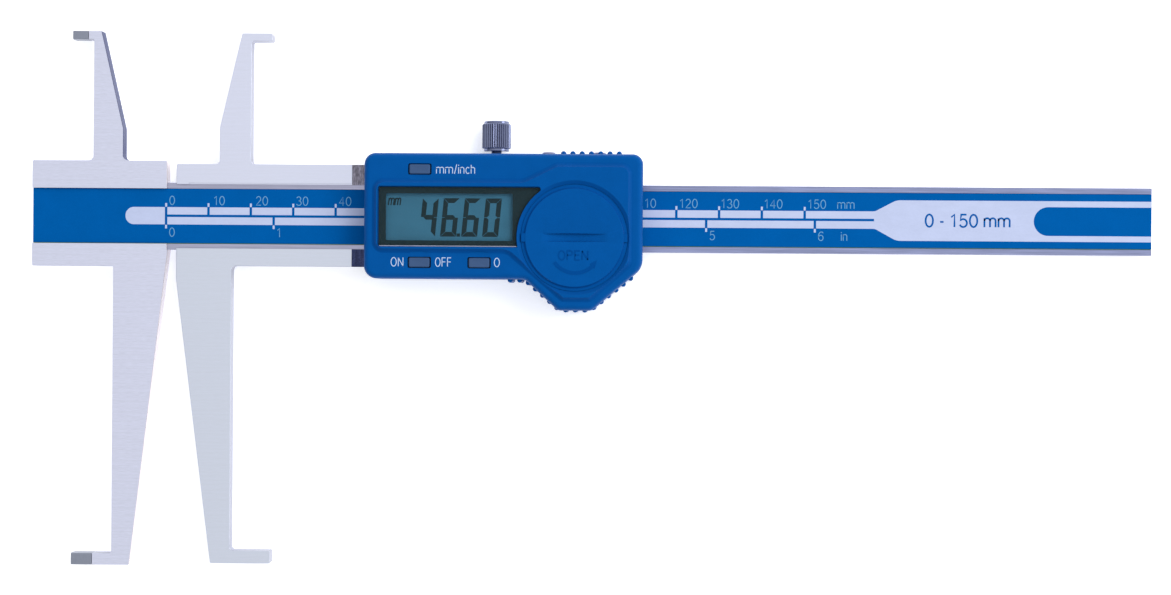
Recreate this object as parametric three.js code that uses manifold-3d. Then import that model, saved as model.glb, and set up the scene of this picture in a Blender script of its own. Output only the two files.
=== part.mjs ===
// Inside-groove digital caliper, lying on its back with the display facing up.
//
// All sizes are millimetres. Along the beam, x is the reading of the printed
// scale (0 at its zero line), y is measured from the beam's centre line towards
// the short jaws, and z from the back of the slider, on which the caliper rests.
// The last lines move the whole model so that its origin is the bottom centre of
// its box.

import * as THREE from 'three';
import { mergeVertices } from 'three/addons/utils/BufferGeometryUtils.js';
import Module from 'manifold-3d';

const manifoldLibrary = await Module();
manifoldLibrary.setup();

// ---------------------------------------------------------------- dimensions

// Clearances
const slideGap = 0.1; // between pieces that slide or turn on each other
const seatGap = 0.05; // glue line or seat between pieces that stay together

// Heights of the layers, from the resting face up
const layer = {
  backPlateTop: 1.5,
  beamBack: 1.6,
  grooveFloor: 3.8,
  railTop: 5.0,
  lipBottom: 5.1,
  roughTop: 5.35,
  jawFront: 5.6,
  boardBottom: 5.5,
  boardTop: 6.5,
  cupFloorBottom: 8.0,
  cupFloorTop: 9.2,
  ceilingBottom: 12.8,
  windowSeat: 13.7,
  rimTop: 14.3,
  plateauTop: 15.0,
};

// Beam and fixed jaws
const beam = { halfWidth: 7.9, end: 230.8, grooveHalfWidth: 6.5 };
const fixedBlock = { left: -31.5, right: 0.3, bottom: -11.85, top: 13.0 };
const fixedUpperJaw = {
  left: -17.1,
  right: -10.1,
  shoulder: 20.5,
  topRight: -15.35,
  hookInside: 41.5,
  top: 43.45,
};
const fixedLowerJaw = {
  left: -12.3,
  topRight: 0.55,
  bottomRight: -8.1,
  hookInside: -79.4,
  bottom: -82.1,
};
const upperTip = { left: -22.45, right: -18.5 };
const lowerTip = { left: -22.15, right: -16.95 };
const tipBulge = 0.35; // how far a tip's outer face stands out halfway through its thickness

// Scale strip in the beam's groove: an etched board under a printed label
const scale = { boardTop: 4.65, labelTop: 4.92 };

// Slider frame and sliding jaws
const frame = { left: 2.55, right: 110, bottom: -11.65, top: 12.3, groundEnd: 43.9, lipEnd: 49 };
const lip = { inner: 7.55, rebateStart: 5.5, rebate: 7.85, rebateFloor: 5.3 };
const gib = { leftInset: 0.4, rightInset: 0.5, inner: 8.0, outer: 8.95, top: 4.95 };
const backLabel = { left: 8, right: 100, halfWidth: 8, pocket: 0.3 };
const channel = { bottom: -8.0, top: 9.05 };
const slidingUpperJaw = {
  left: 12.72,
  right: 20.05,
  shoulder: 21.05,
  topLeft: 17.81,
  hookInside: 41.2,
  hookEnd: 24.94,
  top: 43.05,
};
const slidingLowerJaw = {
  right: 15.6,
  shoulder: -14.7,
  bottomLeft: 11.0,
  hookInside: -78.5,
  hookEnd: 25.14,
  bottom: -81.5,
};
const jawRoot = 2.3; // how far a sliding jaw's plate reaches into the slider

// Screws that act through the slider's upper bar, along y
const sideScrewHeight = 3.6;
const sideScrewHole = 1.3;
const lockScrew = { x: 77.66, shank: 1.2, tip: 10.15, knobStart: 15.69, knobEnd: 22.75, knob: 3.35 };
const knobBoss = { inset: 0.4, height: 0.6 };
const lockPad = { radius: 1.15, inner: 9.2, outer: 9.85 };
const gibScrew = { xs: [90, 101.9], shank: 1.2, tip: 9.1, headStart: 12.45, headEnd: 15.6, head: 1.6 };
const gibScrewSlot = { width: 0.5, depth: 0.8 };
const sideNotchRadius = { lock: 1.9, gib: 2.2 };

// Display housing
const housing = { left: 47.7, right: 112.13, bottom: -14.42, top: 14.65, lowerEdge: 0.6, bevel: 1.4 };
const grip = {
  start: 85.04,
  bottomLeft: 92.64,
  bottomRight: 100.42,
  rightEnd: -11.56,
  bottom: -21.55,
  ribLead: 3.5,
  lastRib: [109.4, -13.8],
};
const cavity = { left: 49.7, right: 110.4, bottom: -12.5, top: 12.9 };
const gripHollow = {
  left: 88.2,
  right: 107.5,
  top: -12,
  bottomLeft: 93.6,
  bottomRight: 99.4,
  bottom: -18.6,
  floor: 2.2,
};

// Foot of the raised face: narrow over the LCD, wide over the battery and thumb grip
const plateau = {
  left: 49.6,
  right: 109.8,
  lowTop: 8.8,
  lowBottom: -8.55,
  highTop: 12.6,
  riseStart: 84.4,
  riseEnd: 92.1,
  neck: 80.7,
  gripLeft: 93.5,
  gripRight: 100.2,
  gripBottom: -19.6,
  flankEnd: -11.1,
  slope: 1.1,
  rise: 0.7,
};

// Ribs for the thumb, on the grip and on the far edge of the housing
const rib = { radius: 0.62, standOut: 0.12, top: 11.6, pitch: 2.18, sides: 10 };
const topRibs = { first: 93.7, pitch: 2.15, count: 7 };

// Display window and the opening over the LCD
const lcdWindow = { left: 51.0, bottom: -7.05, top: 6.9, arc: 13.3, corner: 0.6, glassTop: 14.9 };
const lcdOpening = { left: 52.4, right: 82.7, bottom: -5.9, top: 5.7 };

// Battery and its cover
const battery = { x: 96.37, y: -4.76, radius: 10, bottom: 9.6, top: 12.8 };
const well = { radius: 11.4, cupRadius: 12.9, moatRadius: 12.4, moatFloor: 14.3, moatTopRadius: 13.05 };
const cover = {
  plugRadius: 10.7,
  bottom: 12.95,
  flange: 14.4,
  skirtRadius: 12.25,
  skirtTop: 14.5,
  shoulderRadius: 11.2,
  shoulder: 14.95,
  topRadius: 10.85,
  top: 15.1,
};
const bayonet = {
  radius: 12.0,
  groove: 12.15,
  grooveBottom: 12.65,
  grooveTop: 13.5,
  openAngle: 40,
  width: 20,
};
const coinSlot = { length: 15.2, width: 2.25, depth: 0.8 };
const coverLug = { halfWidth: 1.0, top: 15.0 };
const oRing = { inner: 10.7, outer: 11.3, bottom: 13.65, top: 14.3, corner: 0.2 };

// LCD stack under the window: a carrier that holds the glass over the board
const lcd = {
  left: 52.2,
  right: 82.4,
  halfHeight: 6.2,
  seat: 10.9,
  lowerGlassTop: 11.8,
  top: 12.7,
  wall: 1.0,
};
const zebra = { left: 54, right: 81, bottom: -6.0, top: -4.9 };

// Main board, its controller, and the push switch under each button
const board = { left: 50.2, right: 109.9, bottom: -12.1, top: 12.5, screwNotch: 2.4 };
const chip = { left: 63.5, right: 71.5, bottom: -3, top: 4, height: 7.6 };
const pushSwitch = { halfWidth: 2.3, halfDepth: 1.45, bodyTop: 9.2, plunger: 0.9, plungerTop: 9.95 };

// Battery contacts: a bent strip under the cell and an upright one beside it
const contact = { thickness: 0.3, halfWidth: 2, topOfMinus: 9.5, topOfPlus: 12.4 };
const minusContact = { riser: -7.25, end: 4 };
const plusContact = { riser: 10.35, footEnd: 13 };

// Buttons
const buttonOpening = { width: 5.34, depth: 2.64, corner: 0.4 };
const buttonCap = { width: 4.8, depth: 2.2, corner: 0.35, top: 14.55 };
const buttonCollar = { reach: 0.3, bottom: 11.6, top: 12.5 };
const buttonStem = { radius: 0.8, bottom: 10.6 };
const buttons = {
  button_unit: { x: 60.63, y: 10.87 },
  button_power: { x: 60.63, y: -10.63 },
  button_zero: { x: 74.45, y: -10.65 },
};

// Fasteners that hold the housing and the board
const slotWidth = 0.4;
const housingScrew = { shank: 0.85, hole: 1.0, head: 1.4, headTop: 1.0, boss: 2.0, bottom: 0.15, top: 9.6 };
const housingScrewPlaces = [[52.3, 10.5], [52.3, -10.0], [107.6, 10.5], [107.6, -10.0]];
const boardScrewPlaces = [[70, 10.7], [96, 10.7], [67.5, -10.0], [82, -10.0]];
const boardScrew = { shank: 0.7, hole: 0.85, head: 1.25, bottom: 2.2, top: 7.3, slotDepth: 0.35 };

// Stop plate screwed to the back of the beam's tail
const endStop = { left: 216, right: 229, halfWidth: 6.5, bottom: 0.4, top: 1.55 };
const endStopScrew = { shank: 0.9, hole: 1.0, head: 1.6, bottom: 0.45, headTop: 1.05, top: 3.3 };
const endStopScrewPlaces = [[219.5, 0], [225.5, 0]];

// Cutting tools reach this far past what they cut
const past = 1;

// ------------------------------------------------------------------ materials

function finish(colour, roughness, metalness) {
  return new THREE.MeshStandardMaterial({ color: colour, roughness, metalness });
}

const steel = finish(0xb9bcc8, 0.35, 1);
const darkSteel = finish(0x6b7078, 0.45, 1);
const carbide = finish(0x70777f, 0.4, 1);
const brass = finish(0xb08d4a, 0.4, 1);
const bluePlastic = finish(0x0b4fa6, 0.45, 0);
const labelBlue = finish(0x0a5fae, 0.4, 0);
const labelSilver = finish(0xa8acb4, 0.4, 0.3);
const buttonGrey = finish(0x4b5a8c, 0.55, 0);
const lcdGlass = finish(0x49686f, 0.1, 0);
const windowClear = finish(0x27363a, 0.05, 0);
const boardGreen = finish(0x1f5a3a, 0.6, 0);
const blackPlastic = finish(0x1c1e22, 0.5, 0);
const rubberBlack = finish(0x151515, 0.8, 0);
const whitePlastic = finish(0xe6e6e2, 0.5, 0);
const springSteel = finish(0xcfd2d6, 0.3, 1);

// -------------------------------------------------------------------- helpers

const caliper = new THREE.Group();

function addPart(name, geometry, material) {
  const mesh = new THREE.Mesh(geometry, material);
  mesh.name = name;
  caliper.add(mesh);
}

// Turns a closed geometry into a solid that can be joined and cut.
function solid(geometry) {
  const bare = geometry.clone();
  bare.deleteAttribute('normal');
  bare.deleteAttribute('uv');
  const merged = mergeVertices(bare, 1e-4);
  const corners = merged.index.array;
  const triangles = [];
  for (let i = 0; i < corners.length; i += 3) {
    const [a, b, c] = corners.slice(i, i + 3);
    if (a !== b && b !== c && c !== a) triangles.push(a, b, c);
  }
  return new manifoldLibrary.Manifold(new manifoldLibrary.Mesh({
    numProp: 3,
    vertProperties: new Float32Array(merged.attributes.position.array),
    triVerts: new Uint32Array(triangles),
  }));
}

function geometryOf(body) {
  const { vertProperties, triVerts } = body.getMesh();
  const geometry = new THREE.BufferGeometry();
  geometry.setAttribute('position', new THREE.BufferAttribute(new Float32Array(vertProperties), 3));
  geometry.setIndex(new THREE.BufferAttribute(new Uint32Array(triVerts), 1));
  geometry.computeVertexNormals();
  return geometry;
}

function join(first, ...others) {
  return others.reduce((body, other) => body.add(solid(other)), solid(first));
}

function cut(body, ...tools) {
  return tools.reduce((left, tool) => left.subtract(solid(tool)), body);
}

function box(x0, x1, y0, y1, z0, z1) {
  const geometry = new THREE.BoxGeometry(x1 - x0, y1 - y0, z1 - z0);
  return geometry.translate((x0 + x1) / 2, (y0 + y1) / 2, (z0 + z1) / 2);
}

// A closed outline through the corners [x, y, radius], each rounded to its radius.
function outline(corners) {
  const shape = new THREE.Shape();
  corners.forEach(([x, y, radius = 0], i) => {
    const corner = new THREE.Vector2(x, y);
    const [px, py] = corners[(i + corners.length - 1) % corners.length];
    const [nx, ny] = corners[(i + 1) % corners.length];
    const back = new THREE.Vector2(px, py).sub(corner).normalize();
    const ahead = new THREE.Vector2(nx, ny).sub(corner).normalize();
    if (radius === 0) {
      if (i === 0) shape.moveTo(x, y);
      else shape.lineTo(x, y);
      return;
    }
    const halfAngle = Math.acos(THREE.MathUtils.clamp(back.dot(ahead), -1, 1)) / 2;
    const middle = back.clone().add(ahead).normalize();
    const centre = corner.clone().addScaledVector(middle, radius / Math.sin(halfAngle));
    const reach = radius / Math.tan(halfAngle);
    const start = corner.clone().addScaledVector(back, reach).sub(centre);
    const end = corner.clone().addScaledVector(ahead, reach).sub(centre);
    const clockwise = back.cross(ahead) > 0;
    if (i === 0) shape.moveTo(centre.x + start.x, centre.y + start.y);
    shape.absarc(centre.x, centre.y, radius, start.angle(), end.angle(), clockwise);
  });
  shape.closePath();
  return shape;
}

function slab(shape, bottom, top, curveSegments = 3) {
  const options = { depth: top - bottom, bevelEnabled: false, curveSegments };
  return new THREE.ExtrudeGeometry(shape, options).translate(0, 0, bottom);
}

// A slab whose upper edge slopes inwards by `slope` over the height `rise`.
function slopedSlab(shape, bottom, top, slope, rise, bevelSegments) {
  const options = {
    depth: top - bottom,
    bevelThickness: rise,
    bevelSize: slope,
    bevelOffset: -slope,
    bevelSegments,
    curveSegments: 3,
  };
  const doubleSloped = new THREE.ExtrudeGeometry(shape, options).translate(0, 0, bottom - rise);
  const lowerSlope = box(
    housing.left - past, housing.right + past, grip.bottom - past, housing.top + past,
    bottom - 2 * rise - past, bottom);
  return cut(solid(doubleSloped), lowerSlope);
}

function roundedBox(x0, x1, y0, y1, z0, z1, radius) {
  const corners = [[x0, y0, radius], [x1, y0, radius], [x1, y1, radius], [x0, y1, radius]];
  return slab(outline(corners), z0, z1);
}

function rodZ(x, y, radius, z0, z1, sides = 24) {
  const geometry = new THREE.CylinderGeometry(radius, radius, z1 - z0, sides);
  return geometry.rotateX(Math.PI / 2).translate(x, y, (z0 + z1) / 2);
}

function rodY(x, z, radius, y0, y1, sides = 24) {
  const geometry = new THREE.CylinderGeometry(radius, radius, y1 - y0, sides);
  return geometry.translate(x, (y0 + y1) / 2, z);
}

// A turned piece: the profile lists [radius, height] from its low end to its high end.
function turned(profile, sides) {
  return new THREE.LatheGeometry(profile.map(([r, h]) => new THREE.Vector2(r, h)), sides);
}

// A slot across the whole head of a screw that points along z.
function driverSlot(x, y, headRadius, z0, z1) {
  const reach = headRadius + past;
  return box(x - reach, x + reach, y - slotWidth / 2, y + slotWidth / 2, z0, z1);
}

// ------------------------------------------------------------ beam, fixed side

function makeBeam() {
  const block = fixedBlock;
  const upper = fixedUpperJaw;
  const lower = fixedLowerJaw;
  const shape = outline([
    [block.left, block.bottom, 0.3],
    [lower.left, block.bottom, 0.3],
    [lower.left, lower.hookInside, 0.5],
    [lowerTip.right + seatGap, lower.hookInside],
    [lowerTip.right + seatGap, lower.bottom],
    [lower.bottomRight, lower.bottom, 0.3],
    [lower.topRight, -beam.halfWidth, 0.5],
    [beam.end, -beam.halfWidth, 0.2],
    [beam.end, beam.halfWidth, 0.2],
    [block.right, beam.halfWidth, 0.6],
    [block.right, block.top, 0.3],
    [upper.right, block.top, 1.2],
    [upper.right, upper.shoulder, 3],
    [upper.topRight, upper.top, 0.2],
    [upperTip.right + seatGap, upper.top],
    [upperTip.right + seatGap, upper.hookInside],
    [upper.left, upper.hookInside, 0.4],
    [upper.left, block.top, 1.2],
    [block.left, block.top, 0.3],
  ]);
  const [right, above] = [beam.end + past, layer.jawFront + past];
  const aboveRails = box(
    block.right, right, -beam.halfWidth - past, beam.halfWidth + past, layer.railTop, above);
  const groove = box(
    block.left - past, right, -beam.grooveHalfWidth, beam.grooveHalfWidth, layer.grooveFloor, above);
  const screwHoles = endStopScrewPlaces.map(
    ([x, y]) => rodZ(x, y, endStopScrew.hole, layer.beamBack - past, endStopScrew.top + 0.1));
  return cut(solid(slab(shape, layer.beamBack, layer.jawFront)), aboveRails, groove, ...screwHoles);
}

// A hard tip whose outer face is slightly round across its thickness.
function makeTip(tip, y0, y1) {
  const { beamBack: back, jawFront: front } = layer;
  const section = new THREE.Shape();
  section.moveTo(tip.right, back);
  section.lineTo(tip.right, front);
  section.lineTo(tip.left + tipBulge, front);
  section.quadraticCurveTo(tip.left - tipBulge, (back + front) / 2, tip.left + tipBulge, back);
  section.closePath();
  const options = { depth: y1 - y0, bevelEnabled: false, curveSegments: 8 };
  return new THREE.ExtrudeGeometry(section, options).rotateX(Math.PI / 2).translate(0, y1, 0);
}

function addFixedSide() {
  addPart('beam', geometryOf(makeBeam()), steel);
  addPart('fixed_tip_upper', makeTip(upperTip, fixedUpperJaw.hookInside, fixedUpperJaw.top), carbide);
  addPart('fixed_tip_lower', makeTip(lowerTip, fixedLowerJaw.bottom, fixedLowerJaw.hookInside), carbide);

  const half = beam.grooveHalfWidth - seatGap;
  const [left, right] = [fixedBlock.left + seatGap, beam.end - seatGap];
  const scaleBoard = box(left, right, -half, half, layer.grooveFloor + seatGap, scale.boardTop);
  addPart('scale_board', scaleBoard, boardGreen);
  const scaleLabel = box(left, right, -half, half, scale.boardTop + seatGap, scale.labelTop);
  addPart('scale_label', scaleLabel, labelBlue);

  const stopPlate = roundedBox(
    endStop.left, endStop.right, -endStop.halfWidth, endStop.halfWidth, endStop.bottom, endStop.top, 1);
  const { shank, hole, head, bottom, headTop, top } = endStopScrew;
  const clearances = endStopScrewPlaces.flatMap(([x, y]) => [
    rodZ(x, y, hole + seatGap, 0, endStop.top + past),
    rodZ(x, y, head + 0.15, 0, headTop + seatGap),
  ]);
  addPart('end_stop', geometryOf(cut(solid(stopPlate), ...clearances)), darkSteel);
  endStopScrewPlaces.forEach(([x, y], i) => {
    const body = join(rodZ(x, y, shank, headTop - 0.15, top, 16), rodZ(x, y, head, bottom, headTop, 20));
    const slotted = cut(body, driverSlot(x, y, head, 0, bottom + 0.3));
    addPart(`end_stop_screw_${i + 1}`, geometryOf(slotted), darkSteel);
  });
}

// --------------------------------------------------------------- slider frame

function slidingJawShapes() {
  const upper = slidingUpperJaw;
  const lower = slidingLowerJaw;
  const upperShape = outline([
    [upper.left, frame.top - jawRoot],
    [upper.right, frame.top - jawRoot],
    [upper.right, upper.hookInside, 0.5],
    [upper.hookEnd, upper.hookInside, 0.4],
    [upper.hookEnd, upper.top, 0.4],
    [upper.topLeft, upper.top, 0.3],
    [upper.left, upper.shoulder, 3],
  ]);
  const lowerShape = outline([
    [frame.left, frame.bottom + jawRoot],
    [frame.left, lower.shoulder, 3],
    [lower.bottomLeft, lower.bottom, 0.3],
    [lower.hookEnd, lower.bottom, 0.3],
    [lower.hookEnd, lower.hookInside, 0.3],
    [lower.right, lower.hookInside, 0.8],
    [lower.right, frame.bottom + jawRoot],
  ]);
  return [upperShape, lowerShape];
}

// The small fillet where a jaw's side meets the slider's edge.
function cornerFillet(x, y, towardsX, towardsY) {
  const radius = 1.0;
  const overlap = 0.4;
  const shape = new THREE.Shape();
  const centre = [x + towardsX * radius, y + towardsY * radius];
  const startAngle = Math.atan2(0, -towardsX);
  const endAngle = Math.atan2(-towardsY, 0);
  const sweep = Math.atan2(Math.sin(endAngle - startAngle), Math.cos(endAngle - startAngle));
  shape.moveTo(x - towardsX * overlap, y + towardsY * radius);
  for (let i = 0; i <= 5; i += 1) {
    const angle = startAngle + (sweep * i) / 5;
    shape.lineTo(centre[0] + radius * Math.cos(angle), centre[1] + radius * Math.sin(angle));
  }
  shape.lineTo(x + towardsX * radius, y - towardsY * overlap);
  shape.lineTo(x - towardsX * overlap, y - towardsY * overlap);
  shape.closePath();
  return slab(shape, layer.beamBack, layer.jawFront);
}

function makeSliderFrame() {
  const [x0, x1] = [frame.left, frame.right];
  const bars = roundedBox(x0, x1, frame.bottom, frame.top, 0, layer.jawFront, 0.4);
  const jaws = slidingJawShapes().map((shape) => slab(shape, layer.beamBack, layer.jawFront));
  const fillets = [
    cornerFillet(slidingUpperJaw.left, frame.top, -1, 1),
    cornerFillet(slidingUpperJaw.right, frame.top, 1, 1),
    cornerFillet(slidingLowerJaw.right, frame.bottom, 1, -1),
  ];
  const [before, after, above] = [x0 - past, x1 + past, layer.jawFront + past];
  const lipStart = layer.lipBottom - 0.1;
  const channelCut = box(
    before, after, channel.bottom, channel.top, layer.backPlateTop, layer.lipBottom);
  const labelOpening = box(before, after, -lip.inner, lip.inner, lipStart, above);
  const upperRebate = box(
    lip.rebateStart, frame.groundEnd + past, 0, lip.rebate, lip.rebateFloor, above);
  const roughStep = box(
    frame.groundEnd, after, frame.bottom - past, frame.top + past, layer.roughTop, above);
  const underHousing = box(frame.lipEnd, after, channel.bottom, channel.top, lipStart, above);
  const { left, right, halfWidth, pocket } = backLabel;
  const labelPocket = box(left, right, -halfWidth, halfWidth, -past, pocket);

  const sideHoles = [lockScrew.x, ...gibScrew.xs].map(
    (x) => rodY(x, sideScrewHeight, sideScrewHole, channel.top - 0.5, frame.top + past));
  const housingHoles = housingScrewPlaces.flatMap(([x, y]) => [
    rodZ(x, y, housingScrew.hole, -past, above),
    rodZ(x, y, housingScrew.head + slideGap, -past, housingScrew.headTop + seatGap),
  ]);
  const boardHoles = boardScrewPlaces.map(
    ([x, y]) => rodZ(x, y, boardScrew.hole, boardScrew.bottom - 0.2, above));
  return cut(
    join(bars, ...jaws, ...fillets),
    channelCut, labelOpening, upperRebate, roughStep, underHousing, labelPocket,
    ...sideHoles, ...housingHoles, ...boardHoles,
  );
}

function addSliderFrame() {
  addPart('slider_frame', geometryOf(makeSliderFrame()), steel);
  const labelHalf = backLabel.halfWidth - seatGap;
  const label = box(
    backLabel.left + seatGap, backLabel.right - seatGap, -labelHalf, labelHalf,
    seatGap, backLabel.pocket - seatGap);
  addPart('back_label', label, labelSilver);
  const gibStrip = box(
    frame.left + gib.leftInset, frame.right - gib.rightInset, gib.inner, gib.outer,
    layer.beamBack + seatGap, gib.top);
  addPart('gib_strip', gibStrip, brass);

  gibScrew.xs.forEach((x, i) => {
    const { shank, tip, headStart, headEnd, head } = gibScrew;
    const profile = [
      [0, tip], [shank - 0.2, tip], [shank, tip + 0.3], [shank, headStart],
      [head, headStart], [head, headEnd - 0.5], [head - 0.5, headEnd - 0.1], [0, headEnd],
    ];
    const screw = turned(profile, 24).translate(x, 0, sideScrewHeight);
    const slot = box(
      x - head - past, x + head + past, headEnd - gibScrewSlot.depth, headEnd + past,
      sideScrewHeight - gibScrewSlot.width / 2, sideScrewHeight + gibScrewSlot.width / 2);
    addPart(`gib_screw_${i + 1}`, geometryOf(cut(solid(screw), slot)), darkSteel);
  });
}

function addLock() {
  const { x, shank, tip, knobStart, knobEnd, knob } = lockScrew;
  const boss = knob - knobBoss.inset;
  const { height } = knobBoss;
  const profile = [
    [0, tip], [shank - 0.2, tip], [shank, tip + 0.3], [shank, knobStart], [boss, knobStart],
    [boss, knobStart + height], [knob, knobStart + height + 0.15], [knob, knobEnd - height - 0.15],
    [boss, knobEnd - height], [boss, knobEnd], [0, knobEnd],
  ];
  addPart('lock_screw', turned(profile, 40).translate(x, 0, sideScrewHeight), darkSteel);
  const pad = rodY(x, sideScrewHeight, lockPad.radius, lockPad.inner, lockPad.outer);
  addPart('lock_pad', pad, brass);
}

// ------------------------------------------------------------ display housing

function housingShape() {
  return outline([
    [housing.left, housing.bottom, 3],
    [grip.start, housing.bottom, 2.5],
    [grip.bottomLeft, grip.bottom, 2],
    [grip.bottomRight, grip.bottom, 2.5],
    [housing.right, grip.rightEnd, 4],
    [housing.right, housing.top, 2.4],
    [housing.left, housing.top, 2.6],
  ]);
}

function plateauShape() {
  const { left, right, lowTop, lowBottom, highTop, gripBottom } = plateau;
  return outline([
    [left, lowBottom, 2.7],
    [plateau.neck, lowBottom, 3],
    [plateau.gripLeft, gripBottom, 1.6],
    [plateau.gripRight, gripBottom, 1.6],
    [right, plateau.flankEnd, 2.4],
    [right, highTop, 2.7],
    [plateau.riseEnd, highTop, 3],
    [plateau.riseStart, lowTop, 3.5],
    [left, lowTop, 2.7],
  ]);
}

function lcdWindowShape(gap) {
  const { left, bottom, top, arc, corner } = lcdWindow;
  const [x0, y0, y1, radius] = [left + gap, bottom + gap, top - gap, arc + gap];
  const tipRadius = corner - gap;
  const tipY = y1 - tipRadius;
  const tipX = battery.x - Math.sqrt((radius + tipRadius) ** 2 - (tipY - battery.y) ** 2);
  const startAngle = Math.PI - Math.asin((y0 - battery.y) / radius);
  const tipAngle = Math.atan2(tipY - battery.y, tipX - battery.x);
  const shape = new THREE.Shape();
  shape.moveTo(x0, y0 + corner);
  shape.absarc(x0 + corner, y0 + corner, corner, Math.PI, 1.5 * Math.PI, false);
  shape.absarc(battery.x, battery.y, radius, startAngle, tipAngle, true);
  shape.absarc(tipX, tipY, tipRadius, tipAngle - Math.PI, 0.5 * Math.PI, false);
  shape.absarc(x0 + corner, y1 - corner, corner, 0.5 * Math.PI, Math.PI, false);
  shape.closePath();
  return shape;
}

// Points at equal steps along the flanks and foot of the thumb grip.
function gripRibPlaces() {
  const cornerTrim = 0.3;
  const path = new THREE.Path();
  path.moveTo(grip.start - grip.ribLead, housing.bottom);
  path.lineTo(grip.start, housing.bottom);
  path.lineTo(grip.bottomLeft + cornerTrim, grip.bottom + cornerTrim);
  path.lineTo(grip.bottomRight - cornerTrim, grip.bottom + cornerTrim);
  path.lineTo(grip.lastRib[0], grip.lastRib[1]);
  const count = Math.floor(path.getLength() / rib.pitch);
  return path.getSpacedPoints(count).map(({ x, y }) => [x, y - rib.standOut]);
}

function topRibPlaces() {
  return Array.from(
    { length: topRibs.count }, (_, i) => [topRibs.first + i * topRibs.pitch, housing.top + rib.standOut]);
}

function bayonetSector(radius, z0, z1, angle, width) {
  const shape = new THREE.Shape();
  const start = THREE.MathUtils.degToRad(angle - width / 2);
  const end = THREE.MathUtils.degToRad(angle + width / 2);
  const inner = cover.plugRadius - 0.7;
  shape.moveTo(inner * Math.cos(start), inner * Math.sin(start));
  shape.absarc(0, 0, radius, start, end, false);
  shape.absarc(0, 0, inner, end, start, true);
  shape.closePath();
  return slab(shape, z0, z1).translate(battery.x, battery.y, 0);
}

function makeHousing() {
  const { x: bx, y: by } = battery;
  const shell = slopedSlab(
    housingShape(), housing.lowerEdge, layer.rimTop, housing.bevel, housing.bevel, 3);
  const raised = slopedSlab(
    plateauShape(), layer.rimTop - plateau.rise, layer.plateauTop, plateau.slope, plateau.rise, 2);
  const ribs = [...gripRibPlaces(), ...topRibPlaces()].map(
    ([x, y]) => solid(rodZ(x, y, rib.radius, housing.lowerEdge, rib.top, rib.sides)));
  const inside = roundedBox(
    cavity.left, cavity.right, cavity.bottom, cavity.top, 0, layer.ceilingBottom, 1);
  const thumbHollow = slab(outline([
    [gripHollow.left, gripHollow.top],
    [gripHollow.bottomLeft, gripHollow.bottom, 1],
    [gripHollow.bottomRight, gripHollow.bottom, 1],
    [gripHollow.right, gripHollow.top],
  ]), gripHollow.floor, layer.cupFloorBottom);

  const cup = rodZ(bx, by, well.cupRadius, layer.cupFloorBottom, layer.plateauTop - 1, 48);
  const bosses = housingScrewPlaces.map(
    ([x, y]) => solid(rodZ(x, y, housingScrew.boss, layer.roughTop + seatGap, layer.ceilingBottom + 0.5)));
  const bossHoles = housingScrewPlaces.map(
    ([x, y]) => rodZ(x, y, housingScrew.hole, layer.roughTop - past, housingScrew.top + 0.3));

  const wayTop = layer.roughTop + seatGap;
  const frameWay = box(
    housing.left - past, cavity.left + past, frame.bottom - 0.2, frame.top + 0.2, 0, wayTop);
  const beamWay = box(
    cavity.right - past, housing.right + past, -beam.halfWidth - 0.4, beam.halfWidth + 0.4, 0, wayTop);
  const [wallStart, wallEnd] = [cavity.top - past, housing.top + past];
  const sideNotch = (x, radius) => [
    rodY(x, sideScrewHeight, radius, wallStart, wallEnd),
    box(x - radius, x + radius, wallStart, wallEnd, 0, sideScrewHeight),
  ];
  const [ceiling, above] = [layer.ceilingBottom - past, layer.plateauTop + past];
  const windowOpening = box(
    lcdOpening.left, lcdOpening.right, lcdOpening.bottom, lcdOpening.top, ceiling, above);
  const buttonOpenings = Object.values(buttons).map(({ x, y }) => roundedBox(
    x - buttonOpening.width / 2, x + buttonOpening.width / 2,
    y - buttonOpening.depth / 2, y + buttonOpening.depth / 2, ceiling, above, buttonOpening.corner));

  const moat = turned([
    [0, well.moatFloor], [well.moatRadius, well.moatFloor], [well.moatTopRadius, layer.plateauTop],
    [well.moatTopRadius, above], [0, above],
  ], 64).rotateX(Math.PI / 2).translate(bx, by, 0);
  const entrySlots = [90, 270].map((angle) => bayonetSector(
    bayonet.groove, bayonet.grooveBottom, above, angle + bayonet.openAngle, bayonet.width + 6));
  const [slotStart, slotEnd] = [layer.cupFloorBottom - past, layer.cupFloorTop + past];
  const [leaf, side] = [contact.thickness, contact.halfWidth];
  const [plusAt, minusAt] = [by + plusContact.riser, bx + minusContact.riser];
  const plusSlot = box(
    bx - side - 0.3, bx + side + 0.3, plusAt - 0.25, plusAt + leaf + 0.25, slotStart, slotEnd);
  const minusSlot = box(
    minusAt - 0.35, minusAt + leaf + 0.35, by - side - 0.2, by + side + 0.2, slotStart, slotEnd);

  const hollow = cut(
    ribs.reduce((body, rib) => body.add(rib), shell.add(raised)),
    inside, thumbHollow, frameWay, beamWay);
  const filled = bosses.reduce((body, boss) => body.add(boss), hollow.add(solid(cup)));
  return cut(
    filled,
    ...bossHoles,
    ...sideNotch(lockScrew.x, sideNotchRadius.lock),
    ...gibScrew.xs.flatMap((x) => sideNotch(x, sideNotchRadius.gib)),
    windowOpening, slab(lcdWindowShape(0), layer.windowSeat, above, 8), ...buttonOpenings,
    rodZ(bx, by, well.radius, layer.cupFloorTop, above, 48),
    moat,
    rodZ(bx, by, bayonet.groove, bayonet.grooveBottom, bayonet.grooveTop, 48),
    ...entrySlots, plusSlot, minusSlot,
  );
}

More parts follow.
